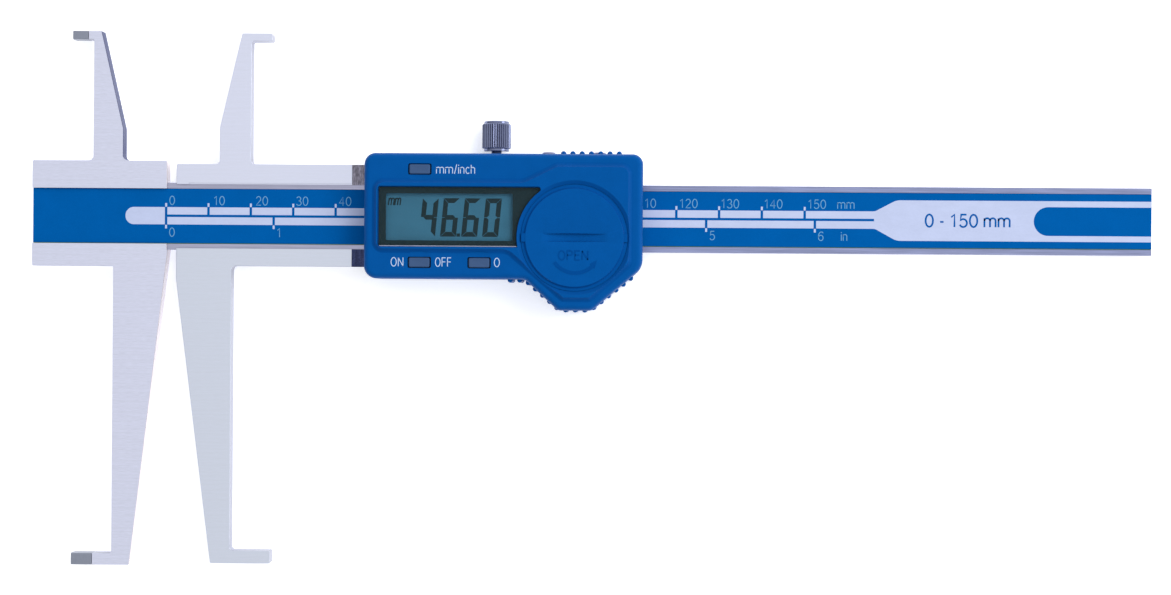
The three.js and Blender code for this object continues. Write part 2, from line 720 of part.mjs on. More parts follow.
function addHousing() {
  addPart('display_housing', geometryOf(makeHousing()), bluePlastic);
  const pane = slab(lcdWindowShape(2 * seatGap), layer.windowSeat + seatGap, lcdWindow.glassTop, 8);
  addPart('lcd_window', pane, windowClear);
  const { shank, head, headTop, bottom, top } = housingScrew;
  housingScrewPlaces.forEach(([x, y], i) => {
    const body = join(rodZ(x, y, shank, headTop - 0.2, top, 16), rodZ(x, y, head, bottom, headTop, 20));
    const slotted = cut(body, driverSlot(x, y, head, 0, bottom + 0.35));
    addPart(`housing_screw_${i + 1}`, geometryOf(slotted), darkSteel);
  });
}

// ----------------------------------------------------------------- electronics

function addBoard() {
  const [under, over] = [layer.boardBottom - past, layer.boardTop + past];
  const sheet = box(board.left, board.right, board.bottom, board.top, layer.boardBottom, layer.boardTop);
  const notches = housingScrewPlaces.map(([x, y]) => {
    const notch = board.screwNotch;
    const [low, high] = y > 0 ? [y - notch, board.top + past] : [board.bottom - past, y + notch];
    const [left, right] = x < battery.x ? [board.left - past, x + notch] : [x - notch, board.right + past];
    return box(left, right, low, high, under, over);
  });
  const holes = boardScrewPlaces.map(([x, y]) => rodZ(x, y, boardScrew.hole, under, over));
  addPart('main_board', geometryOf(cut(solid(sheet), ...notches, ...holes)), boardGreen);

  const partBottom = layer.boardTop + seatGap;
  const { shank, head, bottom, top, slotDepth } = boardScrew;
  boardScrewPlaces.forEach(([x, y], i) => {
    const body = join(
      rodZ(x, y, shank, bottom, partBottom + 0.3, 16),
      rodZ(x, y, head, partBottom, top, 20));
    const slotted = cut(body, driverSlot(x, y, head, top - slotDepth, top + past));
    addPart(`board_screw_${i + 1}`, geometryOf(slotted), darkSteel);
  });

  const controller = roundedBox(
    chip.left, chip.right, chip.bottom, chip.top, partBottom, chip.height, 1.5);
  addPart('controller_chip', controller, blackPlastic);

  const { halfWidth, halfDepth, bodyTop, plunger, plungerTop } = pushSwitch;
  Object.entries(buttons).forEach(([name, { x, y }]) => {
    const body = box(x - halfWidth, x + halfWidth, y - halfDepth, y + halfDepth, partBottom, bodyTop);
    const withPlunger = join(body, rodZ(x, y, plunger, bodyTop - 0.2, plungerTop, 16));
    addPart(name.replace('button', 'switch'), geometryOf(withPlunger), blackPlastic);
  });
}

function addDisplay() {
  const { left, right, halfHeight, seat, lowerGlassTop, top, wall } = lcd;
  const bottom = layer.boardTop + seatGap;
  const [under, over] = [bottom - past, top + past];
  const zebraGap = 0.15;
  const block = roundedBox(
    left - wall, right + 0.8 * wall, -halfHeight - 0.8, halfHeight + 0.8, bottom, top, 0.8);
  const glassSeat = box(
    left - slideGap, right + slideGap, -halfHeight - slideGap, halfHeight + slideGap, seat, over);
  const zebraSlot = box(
    zebra.left - zebraGap, zebra.right + zebraGap, zebra.bottom - zebraGap, zebra.top + zebraGap,
    under, over);
  const chipRoom = box(zebra.left, zebra.right, zebra.top + 1.3, halfHeight - 0.9, under, over);
  const carrier = cut(solid(block), glassSeat, zebraSlot, chipRoom);
  addPart('lcd_frame', geometryOf(carrier), whitePlastic);
  const connector = box(zebra.left, zebra.right, zebra.bottom, zebra.top, bottom, seat);
  addPart('zebra_connector', connector, rubberBlack);
  const lowerGlass = box(left, right, -halfHeight, halfHeight, seat + seatGap, lowerGlassTop);
  const upperGlass = box(left, right, -halfHeight + 0.25, halfHeight, lowerGlassTop - 0.3, top);
  addPart('lcd_panel', geometryOf(join(lowerGlass, upperGlass)), lcdGlass);
}

function addButtons() {
  Object.entries(buttons).forEach(([name, { x, y }]) => {
    const [capX, capY] = [buttonCap.width / 2, buttonCap.depth / 2];
    const cap = roundedBox(
      x - capX, x + capX, y - capY, y + capY, buttonCollar.bottom, buttonCap.top, buttonCap.corner);
    const collarX = buttonOpening.width / 2 + buttonCollar.reach;
    const collarY = buttonOpening.depth / 2 + buttonCollar.reach;
    const collar = box(
      x - collarX, x + collarX, y - collarY, y + collarY, buttonCollar.bottom, buttonCollar.top);
    const stem = rodZ(x, y, buttonStem.radius, buttonStem.bottom, buttonCollar.top - 0.5, 16);
    addPart(name, geometryOf(join(cap, collar, stem)), buttonGrey);
  });
}

// --------------------------------------------------------------------- battery

function addBattery() {
  const { x, y, radius, bottom, top } = battery;
  const cell = turned([
    [0, 0], [radius - 1.2, 0], [radius - 0.9, 0.35], [radius, 0.45],
    [radius, top - bottom - 0.15], [radius - 0.15, top - bottom], [0, top - bottom],
  ], 48);
  addPart('battery', cell.rotateX(Math.PI / 2).translate(x, y, bottom), springSteel);

  const plateTop = layer.boardTop + seatGap;
  const { thickness, halfWidth, topOfMinus, topOfPlus } = contact;
  const riserX = x + minusContact.riser;
  const minusLeaf = join(
    box(riserX, riserX + thickness, y - halfWidth, y + halfWidth, plateTop, topOfMinus),
    box(
      riserX, x + minusContact.end, y - halfWidth, y + halfWidth,
      layer.cupFloorTop + seatGap, topOfMinus));
  addPart('battery_contact_minus', geometryOf(minusLeaf), springSteel);
  const riserY = y + plusContact.riser;
  const plusLeaf = join(
    box(x - halfWidth, x + halfWidth, riserY, riserY + thickness, plateTop, topOfPlus),
    box(x - halfWidth, x + halfWidth, riserY, y + plusContact.footEnd, plateTop, plateTop + thickness));
  addPart('battery_contact_plus', geometryOf(plusLeaf), springSteel);
}

function addBatteryCover() {
  const { x, y } = battery;
  const disc = turned([
    [0, cover.bottom], [cover.plugRadius - 0.1, cover.bottom], [cover.plugRadius - 0.1, cover.flange],
    [cover.skirtRadius, cover.flange], [cover.skirtRadius, cover.skirtTop],
    [cover.shoulderRadius, cover.shoulder], [cover.topRadius, cover.top], [0, cover.top],
  ], 64).rotateX(Math.PI / 2).translate(x, y, 0);
  const lugReach = well.moatRadius - 0.15;
  const lugs = box(
    x - lugReach, x + lugReach, y - coverLug.halfWidth, y + coverLug.halfWidth,
    well.moatFloor + slideGap, coverLug.top);
  const tabs = [90, 270].map((angle) => bayonetSector(
    bayonet.radius, cover.bottom, bayonet.grooveTop - slideGap, angle, bayonet.width));
  const slot = roundedBox(
    x - coinSlot.length / 2, x + coinSlot.length / 2, y - coinSlot.width / 2, y + coinSlot.width / 2,
    cover.top - coinSlot.depth, cover.top + past, 0.3);
  addPart('battery_cover', geometryOf(cut(join(disc, lugs, ...tabs), slot)), bluePlastic);

  const { inner, outer, bottom, top, corner } = oRing;
  const ring = turned([
    [inner, bottom], [outer - corner, bottom], [outer, bottom + corner], [outer, top - corner],
    [outer - corner, top], [inner, top], [inner, bottom],
  ], 48).rotateX(Math.PI / 2).translate(x, y, 0);
  addPart('battery_o_ring', ring, rubberBlack);
}

// -------------------------------------------------------------------- assembly

addFixedSide();
addSliderFrame();
addLock();
addHousing();
addBoard();
addDisplay();
addButtons();
addBattery();
addBatteryCover();

const middleX = (fixedBlock.left + beam.end) / 2;
const middleY = (fixedLowerJaw.bottom + fixedUpperJaw.top) / 2;
caliper.position.set(-middleX, -middleY, 0);

export default caliper;
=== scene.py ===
"""Fine surfaces, materials, camera and light for the inside-groove digital caliper.

Shapes are drawn in scale millimetres: x is the reading of the printed scale, y is
measured from the beam's centre line towards the short jaws, and z is the height above
the resting face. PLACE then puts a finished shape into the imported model's frame.
"""

import math
from collections import namedtuple
from types import SimpleNamespace as Sizes

import bmesh
import bpy
from mathutils import Matrix, Vector


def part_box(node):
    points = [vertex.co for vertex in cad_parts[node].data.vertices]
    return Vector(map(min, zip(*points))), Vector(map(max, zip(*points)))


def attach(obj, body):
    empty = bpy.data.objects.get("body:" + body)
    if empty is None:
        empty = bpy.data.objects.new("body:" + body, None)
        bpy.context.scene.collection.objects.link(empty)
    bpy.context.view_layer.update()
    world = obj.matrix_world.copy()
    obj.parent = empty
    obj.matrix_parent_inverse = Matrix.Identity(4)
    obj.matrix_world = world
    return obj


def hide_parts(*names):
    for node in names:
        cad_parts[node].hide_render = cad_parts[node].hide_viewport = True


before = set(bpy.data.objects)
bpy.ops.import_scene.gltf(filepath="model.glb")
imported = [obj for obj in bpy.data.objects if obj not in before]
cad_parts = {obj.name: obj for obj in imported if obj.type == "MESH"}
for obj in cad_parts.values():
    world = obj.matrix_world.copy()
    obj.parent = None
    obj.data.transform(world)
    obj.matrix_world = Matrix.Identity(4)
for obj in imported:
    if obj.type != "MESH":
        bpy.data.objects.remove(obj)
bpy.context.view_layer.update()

# --- shared frame

MM = 0.001
BLOCK_LEFT = -31.5  # scale reading at the left end of the beam

beam_low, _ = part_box("beam")
label_low, label_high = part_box("scale_label")
ORIGIN = Vector((beam_low.x - BLOCK_LEFT * MM, (label_low.y + label_high.y) / 2, 0))
PLACE = Matrix.Translation(ORIGIN) @ Matrix.Scale(MM, 4)
Span = namedtuple("Span", "left right low high bottom top")


def span(node):
    """A CAD node's x, y and z limits in scale millimetres."""
    low, high = ((corner - ORIGIN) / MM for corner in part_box(node))
    return Span(low.x, high.x, low.y, high.y, low.z, high.z)


def centre_of(node):
    limits = span(node)
    return (limits.left + limits.right) / 2, (limits.low + limits.high) / 2


HOUSING_SCREWS = [f"housing_screw_{number}" for number in range(1, 5)]
BOARD_SCREWS = [f"board_screw_{number}" for number in range(1, 5)]
END_STOP_SCREWS = ["end_stop_screw_1", "end_stop_screw_2"]

# --- dimensions

PAST = 1.0  # cutting shapes reach this far past what they cut
EDGE = 0.13  # radius on the edges of ground steel
ARC_STEP = 7.5  # degrees between the points of an arc

# Heights
BACK_PLATE_TOP = 1.5
GROOVE_FLOOR = 3.8
RAIL_TOP = 5.0
LIP_BOTTOM = 5.1
ROUGH_TOP = 5.35
CEILING = 12.8
WINDOW_SEAT = 13.7
RIM_TOP = 14.3
PLATEAU_TOP = 15.0
CUP_FLOOR = (8.0, 9.2)

# Beam
RAIL_HALF = 7.9
GROOVE_HALF = 6.5
UPPER_JAW = Sizes(left=-17.1, right=-10.1, shoulder=20.5, top_right=-15.35, hook=41.5)
LOWER_JAW = Sizes(left=-12.3, top_right=0.55, bottom_right=-8.1, hook=-79.4)
WORN_FROM = 60.0  # the slider seldom leaves the rails beyond this reading
BLOCK = Sizes(right=0.3, bottom=-11.85, top=13.0)

# Slider
BAR = Sizes(bottom=-11.65, top=12.3, right=110.0, ground_end=43.9, lip_end=49.0)
CHANNEL = (-8.0, 9.05)
LIP_HALF = 7.55
REBATE = Sizes(start=5.5, edge=7.85, floor=5.3)
SLIDING_UPPER = Sizes(
    left=12.72, right=20.05, shoulder=21.05, top_left=17.81,
    hook=41.2, end=24.94, top=43.05,
)
SLIDING_LOWER = Sizes(
    right=15.6, shoulder=-14.7, bottom_left=11.0,
    hook=-78.5, end=25.14, bottom=-81.5,
)
SIDE_SCREW_Z = 3.6

# Housing
GRIP = Sizes(start=85.04, left=92.64, right=100.42, right_end=-11.56, bottom=-21.55)
HOUSING_BOTTOM = -14.42
HOUSING_TOP = 14.65
BEVEL = 1.4
RIB = Sizes(radius=0.62, stand_out=0.12, pitch=2.18, lead=3.5, last=(109.4, -13.8))
TOP_RIBS = Sizes(first=93.7, pitch=2.15, count=7)
CAVITY = (49.7, 110.4, -12.5, 12.9)
SLOPE = 1.1  # width of the slope around the raised face
FACE = Sizes(
    left=49.6, bottom=-8.55, display_top=8.8, display_end=80.7, step_start=84.4,
    step_end=92.1, top=12.6, right=109.8, right_end=-11.1, grip_left=93.5,
    grip_right=100.2, grip_bottom=-19.6,
)
LCD_OPENING = (52.4, 82.7, -5.9, 5.7)
VIEWING_AREA = (52.83, 82.1, -5.55, 5.33)
WINDOW = Sizes(left=51.0, bottom=-7.05, top=6.9, arc=13.3, corner=0.6)
BUTTON_OPENING = (5.34, 2.55)
WELL = Sizes(radius=11.4, moat=12.4, floor=14.3, cup=12.9, moat_foot=14.5, moat_wall=0.85)
COVER = Sizes(plug=10.6, flange=14.4, skirt=12.25, skirt_top=14.5, top_radius=11.25)
COIN_SLOT = Sizes(length=15.2, width=2.25, coin=2.0, depth=1.1, taper=0.15)
BAYONET = Sizes(
    inner=10.0, tab=12.0, groove=12.15, bottom=12.65, top=13.5, open=40, width=20,
)

# --- outlines


def polar(centre, radius, angle):
    return Vector((centre[0] + radius * math.cos(angle), centre[1] + radius * math.sin(angle)))


def arc(centre, radius, start, end):
    """Points on an arc, from the start to the end angle in degrees."""
    steps = max(3, math.ceil(abs(end - start) / ARC_STEP))
    turn = math.radians(end - start) / steps
    return [polar(centre, radius, math.radians(start) + turn * i) for i in range(steps + 1)]


def circle(centre, radius, sides=72):
    return [polar(centre, radius, 2 * math.pi * i / sides) for i in range(sides)]


def rounded(corners):
    """An outline through corners (x, y, radius), each rounded to its radius."""
    points = []
    for i, (x, y, radius) in enumerate(corners):
        here = Vector((x, y))
        if radius == 0:
            points.append(here)
            continue
        back = (Vector(corners[i - 1][:2]) - here).normalized()
        ahead = (Vector(corners[(i + 1) % len(corners)][:2]) - here).normalized()
        half = back.angle(ahead) / 2
        centre = here + (back + ahead).normalized() * (radius / math.sin(half))
        start = here + back * (radius / math.tan(half)) - centre
        sweep = math.pi - 2 * half
        if back.cross(ahead) > 0:
            sweep = -sweep
        steps = max(3, math.ceil(abs(math.degrees(sweep)) / ARC_STEP))
        for k in range(steps + 1):
            points.append(centre + Matrix.Rotation(sweep * k / steps, 2) @ start)
    return [p for i, p in enumerate(points) if (p - points[i - 1]).length > 1e-4]


def rectangle(x0, x1, y0, y1, radius=0.0):
    return rounded([(x0, y0, radius), (x1, y0, radius), (x1, y1, radius), (x0, y1, radius)])


def inset(points, distance):
    """The outline moved inwards by a distance, or outwards by a negative one."""
    moved = []
    for i, here in enumerate(points):
        back = (here - points[i - 1]).normalized()
        ahead = (points[(i + 1) % len(points)] - here).normalized()
        side = Vector((-back.y - ahead.y, back.x + ahead.x))
        moved.append(here + side * (2 * distance / side.length_squared))
    return moved


def quarter(steps):
    return [math.pi / 2 * i / steps for i in range(steps + 1)]


def rim(z, radius, steps=4):
    """Levels (height, inset) of a rounded upper edge that ends at height z."""
    return [(z - radius + radius * math.sin(t), radius * (1 - math.cos(t))) for t in quarter(steps)]


def foot(z, radius, steps=3):
    """Levels of a rounded lower edge that starts at height z."""
    return [(z + radius - radius * math.cos(t), radius * (1 - math.sin(t))) for t in quarter(steps)]


def flare(z, radius, steps=3):
    """Levels of a cutting shape that rounds the rim of its hole at height z."""
    return [(height, -depth) for height, depth in rim(z, radius, steps)] + [(z + PAST, -radius)]


# --- shapes


def add_object(name, data):
    made = bpy.data.objects.new(name, data)
    bpy.context.scene.collection.objects.link(made)
    return made


def shape_from(mesh):
    """An object in the scene from a bmesh."""
    data = bpy.data.meshes.new("shape")
    mesh.to_mesh(data)
    mesh.free()
    return add_object("shape", data)


def bridge(mesh, rings):
    """Adds the faces between closed rings of the same number of points."""
    for lower, upper in zip(rings, rings[1:]):
        for i in range(len(lower)):
            mesh.faces.new((lower[i - 1], lower[i], upper[i], upper[i - 1]))


def loft(points, levels):
    """A closed solid that follows an outline through levels (height, inset)."""
    mesh = bmesh.new()
    rings = [[mesh.verts.new((p.x, p.y, z)) for p in inset(points, depth)] for z, depth in levels]
    mesh.faces.new(reversed(rings[0]))
    mesh.faces.new(rings[-1])
    bridge(mesh, rings)
    return shape_from(mesh)


def slab(points, z0, z1, edge=0.0):
    """A plate between two heights, with rounded edges if edge is given."""
    if edge:
        return loft(points, foot(z0, edge) + rim(z1, edge))
    return loft(points, [(z0, 0), (z1, 0)])


def block(x0, x1, y0, y1, z0, z1):
    return slab(rectangle(x0, x1, y0, y1), z0, z1)


def pin(node, radius, z0, z1):
    """A small cylinder on a CAD node's centre."""
    return slab(circle(centre_of(node), radius, 32), z0, z1)


def turned(profile, sides=64, flutes=0, flute_depth=0.0, fluted=(0.0, 0.0)):
    """A solid of revolution about z through (radius, height), from axis to axis."""
    mesh = bmesh.new()
    low = mesh.verts.new((0, 0, profile[0][1]))
    high = mesh.verts.new((0, 0, profile[-1][1]))
    rings = []
    for radius, height in profile[1:-1]:
        ring = []
        for i in range(sides):
            angle = 2 * math.pi * i / sides
            depth = flute_depth * math.cos(flutes * angle) if fluted[0] < height < fluted[1] else 0
            ring.append(mesh.verts.new((*polar((0, 0), radius + depth, angle), height)))
        rings.append(ring)
    for i in range(sides):
        mesh.faces.new((low, rings[0][i], rings[0][i - 1]))
        mesh.faces.new((high, rings[-1][i - 1], rings[-1][i]))
    bridge(mesh, rings)
    return shape_from(mesh)


def moved(shape, x=0.0, y=0.0, z=0.0):
    shape.data.transform(Matrix.Translation((x, y, z)))
    return shape


def along_y(shape, x, z=SIDE_SCREW_Z):
    """Turns a shape made about z so that it points along y."""
    shape.data.transform(Matrix.Translation((x, 0, z)) @ Matrix.Rotation(math.radians(-90), 4, "X"))
    return shape


def apply_modifiers(shape):
    depsgraph = bpy.context.evaluated_depsgraph_get()
    made = bpy.data.meshes.new_from_object(shape.evaluated_get(depsgraph))
    shape.modifiers.clear()
    shape.data = made


def combine(operation, body, tools):
    for tool in tools:
        step = body.modifiers.new("combine", "BOOLEAN")
        step.operation = operation
        step.solver = "MANIFOLD"
        step.object = tool
    apply_modifiers(body)
    for tool in tools:
        bpy.data.objects.remove(tool)
    return body


def cut(body, *tools):
    return combine("DIFFERENCE", body, tools)


def join(body, *others):
    return combine("UNION", body, others)


def merged(shapes):
    """Several shapes as one, without joining their surfaces."""
    mesh = bmesh.new()
    for shape in shapes:
        mesh.from_mesh(shape.data)
        bpy.data.objects.remove(shape)
    return shape_from(mesh)


def refined_copy(node, edge):
    """A CAD node's shape in scale millimetres, with flat faces merged and edges rounded."""
    mesh = bmesh.new()
    mesh.from_mesh(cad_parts[node].data)
    mesh.transform(PLACE.inverted())
    bmesh.ops.remove_doubles(mesh, verts=mesh.verts, dist=1e-3)
    bmesh.ops.dissolve_limit(
        mesh, angle_limit=math.radians(1), verts=mesh.verts, edges=mesh.edges)
    copy = shape_from(mesh)
    bevel = copy.modifiers.new("edges", "BEVEL")
    bevel.limit_method = "ANGLE"
    bevel.angle_limit = math.radians(35)
    bevel.width = edge
    bevel.segments = 2
    apply_modifiers(copy)
    return copy


def bow(x, y, width, height, start=0, end=360):
    """Points along part of an ellipse, between two angles in degrees."""
    angles = [math.radians(start + (end - start) * i / 16) for i in range(17)]
    return [(x + width / 2 * math.cos(a), y + height / 2 * math.sin(a)) for a in angles]


SIX = [bow(0.28, 0.31, 0.54, 0.62), bow(0.34, 0.5, 0.66, 1, 195, 50)]
ARCH = bow(0.21, 0.5, 0.42, 0.44, 180, 0)
STEM = [(0, 0), (0, 0.72)]

# Each character: its width and its strokes, where a capital is 1 high.
CHARACTERS = {
    "0": (0.56, [bow(0.28, 0.5, 0.56, 1)]),
    "1": (0.44, [[(0.04, 0.78), (0.28, 1), (0.28, 0)]]),
    "2": (0.56, [bow(0.28, 0.72, 0.5, 0.56, 165, -38) + [(0.02, 0), (0.56, 0)]]),
    "3": (0.56, [bow(0.27, 0.76, 0.46, 0.48, 160, -85), bow(0.28, 0.26, 0.56, 0.52, 95, -160)]),
    "4": (0.58, [[(0.43, 0), (0.43, 1), (0, 0.3), (0.58, 0.3)]]),
    "5": (0.56, [[(0.52, 1), (0.13, 1)] + bow(0.28, 0.32, 0.56, 0.64, 142, -155)]),
    "6": (0.56, SIX),
    "7": (0.56, [[(0, 1), (0.56, 1), (0.2, 0)]]),
    "8": (0.56, [bow(0.28, 0.76, 0.46, 0.48), bow(0.28, 0.26, 0.56, 0.52)]),
    "9": (0.56, [[(0.56 - x, 1 - y) for x, y in stroke] for stroke in SIX]),
    "m": (0.84, [STEM, ARCH + [(0.42, 0)], [(x + 0.42, y) for x, y in ARCH] + [(0.84, 0)]]),
    "n": (0.42, [STEM, ARCH + [(0.42, 0)]]),
    "h": (0.42, [[(0, 0), (0, 1)], ARCH + [(0.42, 0)]]),
    "i": (0.0, [STEM, [(0, 0.88), (0, 1)]]),
    "c": (0.40, [bow(0.23, 0.36, 0.46, 0.72, 45, 315)]),
    "/": (0.26, [[(0, -0.04), (0.26, 1.04)]]),
    "-": (0.26, [[(0, 0.4), (0.26, 0.4)]]),
    "O": (0.58, [bow(0.29, 0.5, 0.58, 1)]),
    "N": (0.52, [[(0, 0), (0, 1)], [(0, 0.98), (0.52, 0.02)], [(0.52, 0), (0.52, 1)]]),
    "F": (0.44, [[(0, 0), (0, 1), (0.44, 1)], [(0, 0.53), (0.4, 0.53)]]),
    "P": (0.48, [[(0, 0), (0, 1), (0.24, 1)] + bow(0.24, 0.76, 0.48, 0.48, 90, -90) + [(0, 0.52)]]),
    "E": (0.44, [[(0.44, 0), (0, 0), (0, 1), (0.44, 1)], [(0, 0.53), (0.4, 0.53)]]),
    " ": (0.1, []),
}
LETTER_GAP = 0.22


def ribbon(mesh, path, width, z0, z1):
    """Adds a band of even width along a path, closed if the path's ends meet."""
    closed = (path[0] - path[-1]).length < 1e-4
    if closed:
        path = path[:-1]
    rings = []
    for i, here in enumerate(path):
        back = path[i - 1] if closed or i > 0 else here * 2 - path[i + 1]
        ahead = path[(i + 1) % len(path)] if closed or i < len(path) - 1 else here * 2 - back
        before, after = (here - back).normalized(), (ahead - here).normalized()
        side = Vector((-before.y - after.y, before.x + after.x))
        side *= width / max(side.length_squared, 1.4)
        ring = [(here + side, z0), (here - side, z0), (here - side, z1), (here + side, z1)]
        rings.append([mesh.verts.new((p.x, p.y, z)) for p, z in ring])
    pairs = list(zip(rings, rings[1:]))
    if closed:
        pairs.append((rings[-1], rings[0]))
    else:
        mesh.faces.new(rings[0])
        mesh.faces.new(reversed(rings[-1]))
    for start, end in pairs:
        for k in range(4):
            mesh.faces.new((start[k - 1], end[k - 1], end[k], start[k]))


def lettering(words, left, baseline, height, width, z0, z1, right=None, slant=0.0):
    """Characters as flat bands of even stroke, with capitals of a given height.

    They keep their own proportions, or fill the space up to right if it is given.
    """
    advances = [CHARACTERS[letter][0] + LETTER_GAP for letter in words]
    full = sum(advances) - LETTER_GAP
    across = height if right is None else (right - left - width) / full
    lean = height * math.tan(math.radians(slant))
    mesh = bmesh.new()
    for i, letter in enumerate(words):
        start = sum(advances[:i])
        for path in CHARACTERS[letter][1]:
            points = [
                Vector((left + width / 2 + (start + x) * across + y * lean, baseline + y * height))
                for x, y in path
            ]
            ribbon(mesh, points, width, z0, z1)
    return shape_from(mesh)


def piece(shape, name, body, slot, *materials, replaces=(), sharp=35):
    """Finishes a shape: puts it in place, smooths it and fixes it to its body."""
    shape.name = shape.data.name = name
    shape.data.transform(PLACE)
    shape.data.materials.clear()
    for material in materials:
        shape.data.materials.append(material)
    shape.data.shade_smooth()
    shape.data.set_sharp_from_angle(angle=math.radians(sharp))
    weighted = shape.modifiers.new("normals", "WEIGHTED_NORMAL")
    weighted.keep_sharp = True
    apply_modifiers(shape)
    shape.data.name = name
    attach(shape, body)
    if replaces:
        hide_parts(*replaces)
    return shape


def divided(shape, x):
    """Splits a shape's faces along a plane across x, without opening it."""
    mesh = bmesh.new()
    mesh.from_mesh(shape.data)
    parts = mesh.verts[:] + mesh.edges[:] + mesh.faces[:]
    bmesh.ops.bisect_plane(mesh, geom=parts, plane_co=(x, 0, 0), plane_no=(1, 0, 0))
    mesh.to_mesh(shape.data)
    mesh.free()
    return shape


def paint(shape, material, where):
    """Gives one of the shape's materials to the faces where a test holds.

    The test gets a face's centre in scale millimetres and its normal.
    """
    index = shape.data.materials.find(material.name)
    for face in shape.data.polygons:
        if where((face.center - ORIGIN) / MM, face.normal):
            face.material_index = index


# --- materials


STUDIO_WHITE = (0.97, 0.98, 1.0, 1)


def feed(tree, node, inputs):
    """Links a node's inputs to sockets, or sets them to values."""
    for key, value in inputs.items():
        if isinstance(value, bpy.types.NodeSocket):
            tree.links.new(value, node.inputs[key])
        else:
            node.inputs[key].default_value = value


def add_node(tree, kind, inputs=None, output=0, **settings):
    """Adds a node and returns one of its outputs."""
    made = tree.nodes.new(kind)
    for key, value in settings.items():
        setattr(made, key, value)
    feed(tree, made, inputs or {})
    return made.outputs[output]


def noise(tree, grain, detail=3.0):
    """Noise between 0 and 1 whose grains measure (x, y, z) millimetres, or one size all round."""
    where = add_node(tree, "ShaderNodeTexCoord", output="Object")
    scale = [1 / (size * MM) for size in (grain if isinstance(grain, tuple) else [grain] * 3)]
    placed = add_node(tree, "ShaderNodeMapping", {"Vector": where, "Scale": scale})
    return add_node(tree, "ShaderNodeTexNoise", {"Vector": placed, "Scale": 1.0, "Detail": detail}, "Fac")


def between(tree, value, low, high):
    """Spreads the middle of a noise value over a range."""
    return add_node(tree, "ShaderNodeMapRange", {
        "Value": value, "From Min": 0.3, "From Max": 0.7, "To Min": low, "To Max": high,
    })


def finish(name, colour, roughness, metallic=0.0, grain=0.2, cloud=6,
           tone=0.05, cloud_tone=0.03, gloss=0.05, relief=0.003, specular=0.5, tint=(1, 1, 1), alpha=1.0,
           glow=0.0):
    """A material with fine grain and broad patches in its colour, gloss and relief."""
    material = bpy.data.materials.new(name)
    material.use_nodes = True
    tree = material.node_tree
    fine = noise(tree, grain)
    broad = noise(tree, cloud, detail=2.0)
    fine_shade = between(tree, fine, 1 - tone, 1 + tone)
    broad_shade = between(tree, broad, 1 - cloud_tone, 1 + cloud_tone)
    shade = add_node(tree, "ShaderNodeMath", {0: fine_shade, 1: broad_shade}, operation="MULTIPLY")
    # A colour mix has its factor and two colours at inputs 0, 6 and 7, and its result at output 2.
    colours = {0: 1.0, 6: (*colour, 1), 7: shade}
    tinted = add_node(tree, "ShaderNodeMix", colours, 2, data_type="RGBA", blend_type="MULTIPLY")
    bump = add_node(tree, "ShaderNodeBump", {"Height": fine, "Distance": relief * MM, "Strength": 1.0})
    feed(tree, tree.nodes["Principled BSDF"], {
        "Base Color": tinted,
        "Roughness": between(tree, broad, max(roughness - gloss, 0.02), roughness + gloss),
        "Normal": bump,
        "Metallic": metallic,
        "Specular IOR Level": specular,
        "Specular Tint": (*tint, 1),
        "Alpha": alpha,
        "Emission Color": STUDIO_WHITE,
        "Emission Strength": glow,
    })
    return material


def metal(name, colour, roughness, **settings):
    return finish(name, colour, roughness, metallic=1.0, **settings)


BRUSHED = {"grain": (1.6, 0.1, 0.1), "cloud": (9, 0.5, 0.5)}
RAIL = {"grain": (6, 0.07, 0.07), "cloud": (25, 0.3, 0.3), "relief": 0.005}
BLUE_TINT = (0.03, 0.45, 1.0)
BLUE_PLASTIC = {"specular": 0.3, "tint": BLUE_TINT}
INK = {"colour": (0.013, 0.031, 0.038), "grain": 1, "relief": 0.001, "specular": 0.05}

ground_steel = metal(
    "ground steel", (0.76, 0.78, 0.93), 0.42, tone=0.06, cloud_tone=0.035, relief=0.004, **BRUSHED)
slider_steel = metal(
    "fine ground steel", (0.715, 0.756, 0.86), 0.40, tone=0.02, cloud_tone=0.02, relief=0.0015, **BRUSHED)
# Painted light: a lighter copy of the slider's steel, standing in for the brighter reflection on its upper
# half.
upper_half_painted_light = metal(
    "upper slider steel with painted light", (0.775, 0.80, 0.94), 0.38, tone=0.015, cloud_tone=0.02, relief=0.001, **BRUSHED)
# Painted shade: a darker copy of the steel for the faces that look sideways.
steel_sides_painted_shade = metal("side of the steel", (0.46, 0.47, 0.55), 0.45, grain=(1.6, 1.6, 0.1), tone=0.08)
# Painted shade: a dark steel for the upper fixed jaw's right flank.
jaw_flank_painted_shade = metal("jaw flank steel with painted shade", (0.085, 0.10, 0.21), 0.5, grain=(0.1, 3, 0.1), tone=0.1)
# Painted light: a pale copy of the steel for the fixed block's right side.
block_side_painted_light = metal("block side steel with painted light", (0.78, 0.71, 0.72), 0.3, grain=(0.1, 3, 0.1))
rough_steel = metal(
    "milled steel", (0.25, 0.235, 0.29), 0.45, grain=(0.22, 0.9, 0.3), cloud=(0.45, 4, 1),
    tone=0.5, cloud_tone=0.3, relief=0.02)
# Painted shade: a dark copy of the milled steel for the lower half of the milled strip.
lower_milled_painted_shade = metal(
    "lower milled steel with painted shade", (0.05, 0.062, 0.14), 0.5, grain=(0.25, 0.35, 0.3), cloud=(0.5, 4, 1),
    tone=0.35, cloud_tone=0.3, relief=0.02)
rail_steel = metal("rail steel", (0.445, 0.445, 0.58), 0.4, tone=0.15, cloud_tone=0.12, **RAIL)
worn_rail_steel = metal("worn rail steel", (0.32, 0.35, 0.55), 0.4, tone=0.22, cloud_tone=0.16, **RAIL)
screw_steel = metal("screw steel", (0.25, 0.26, 0.40), 0.38, relief=0.004)
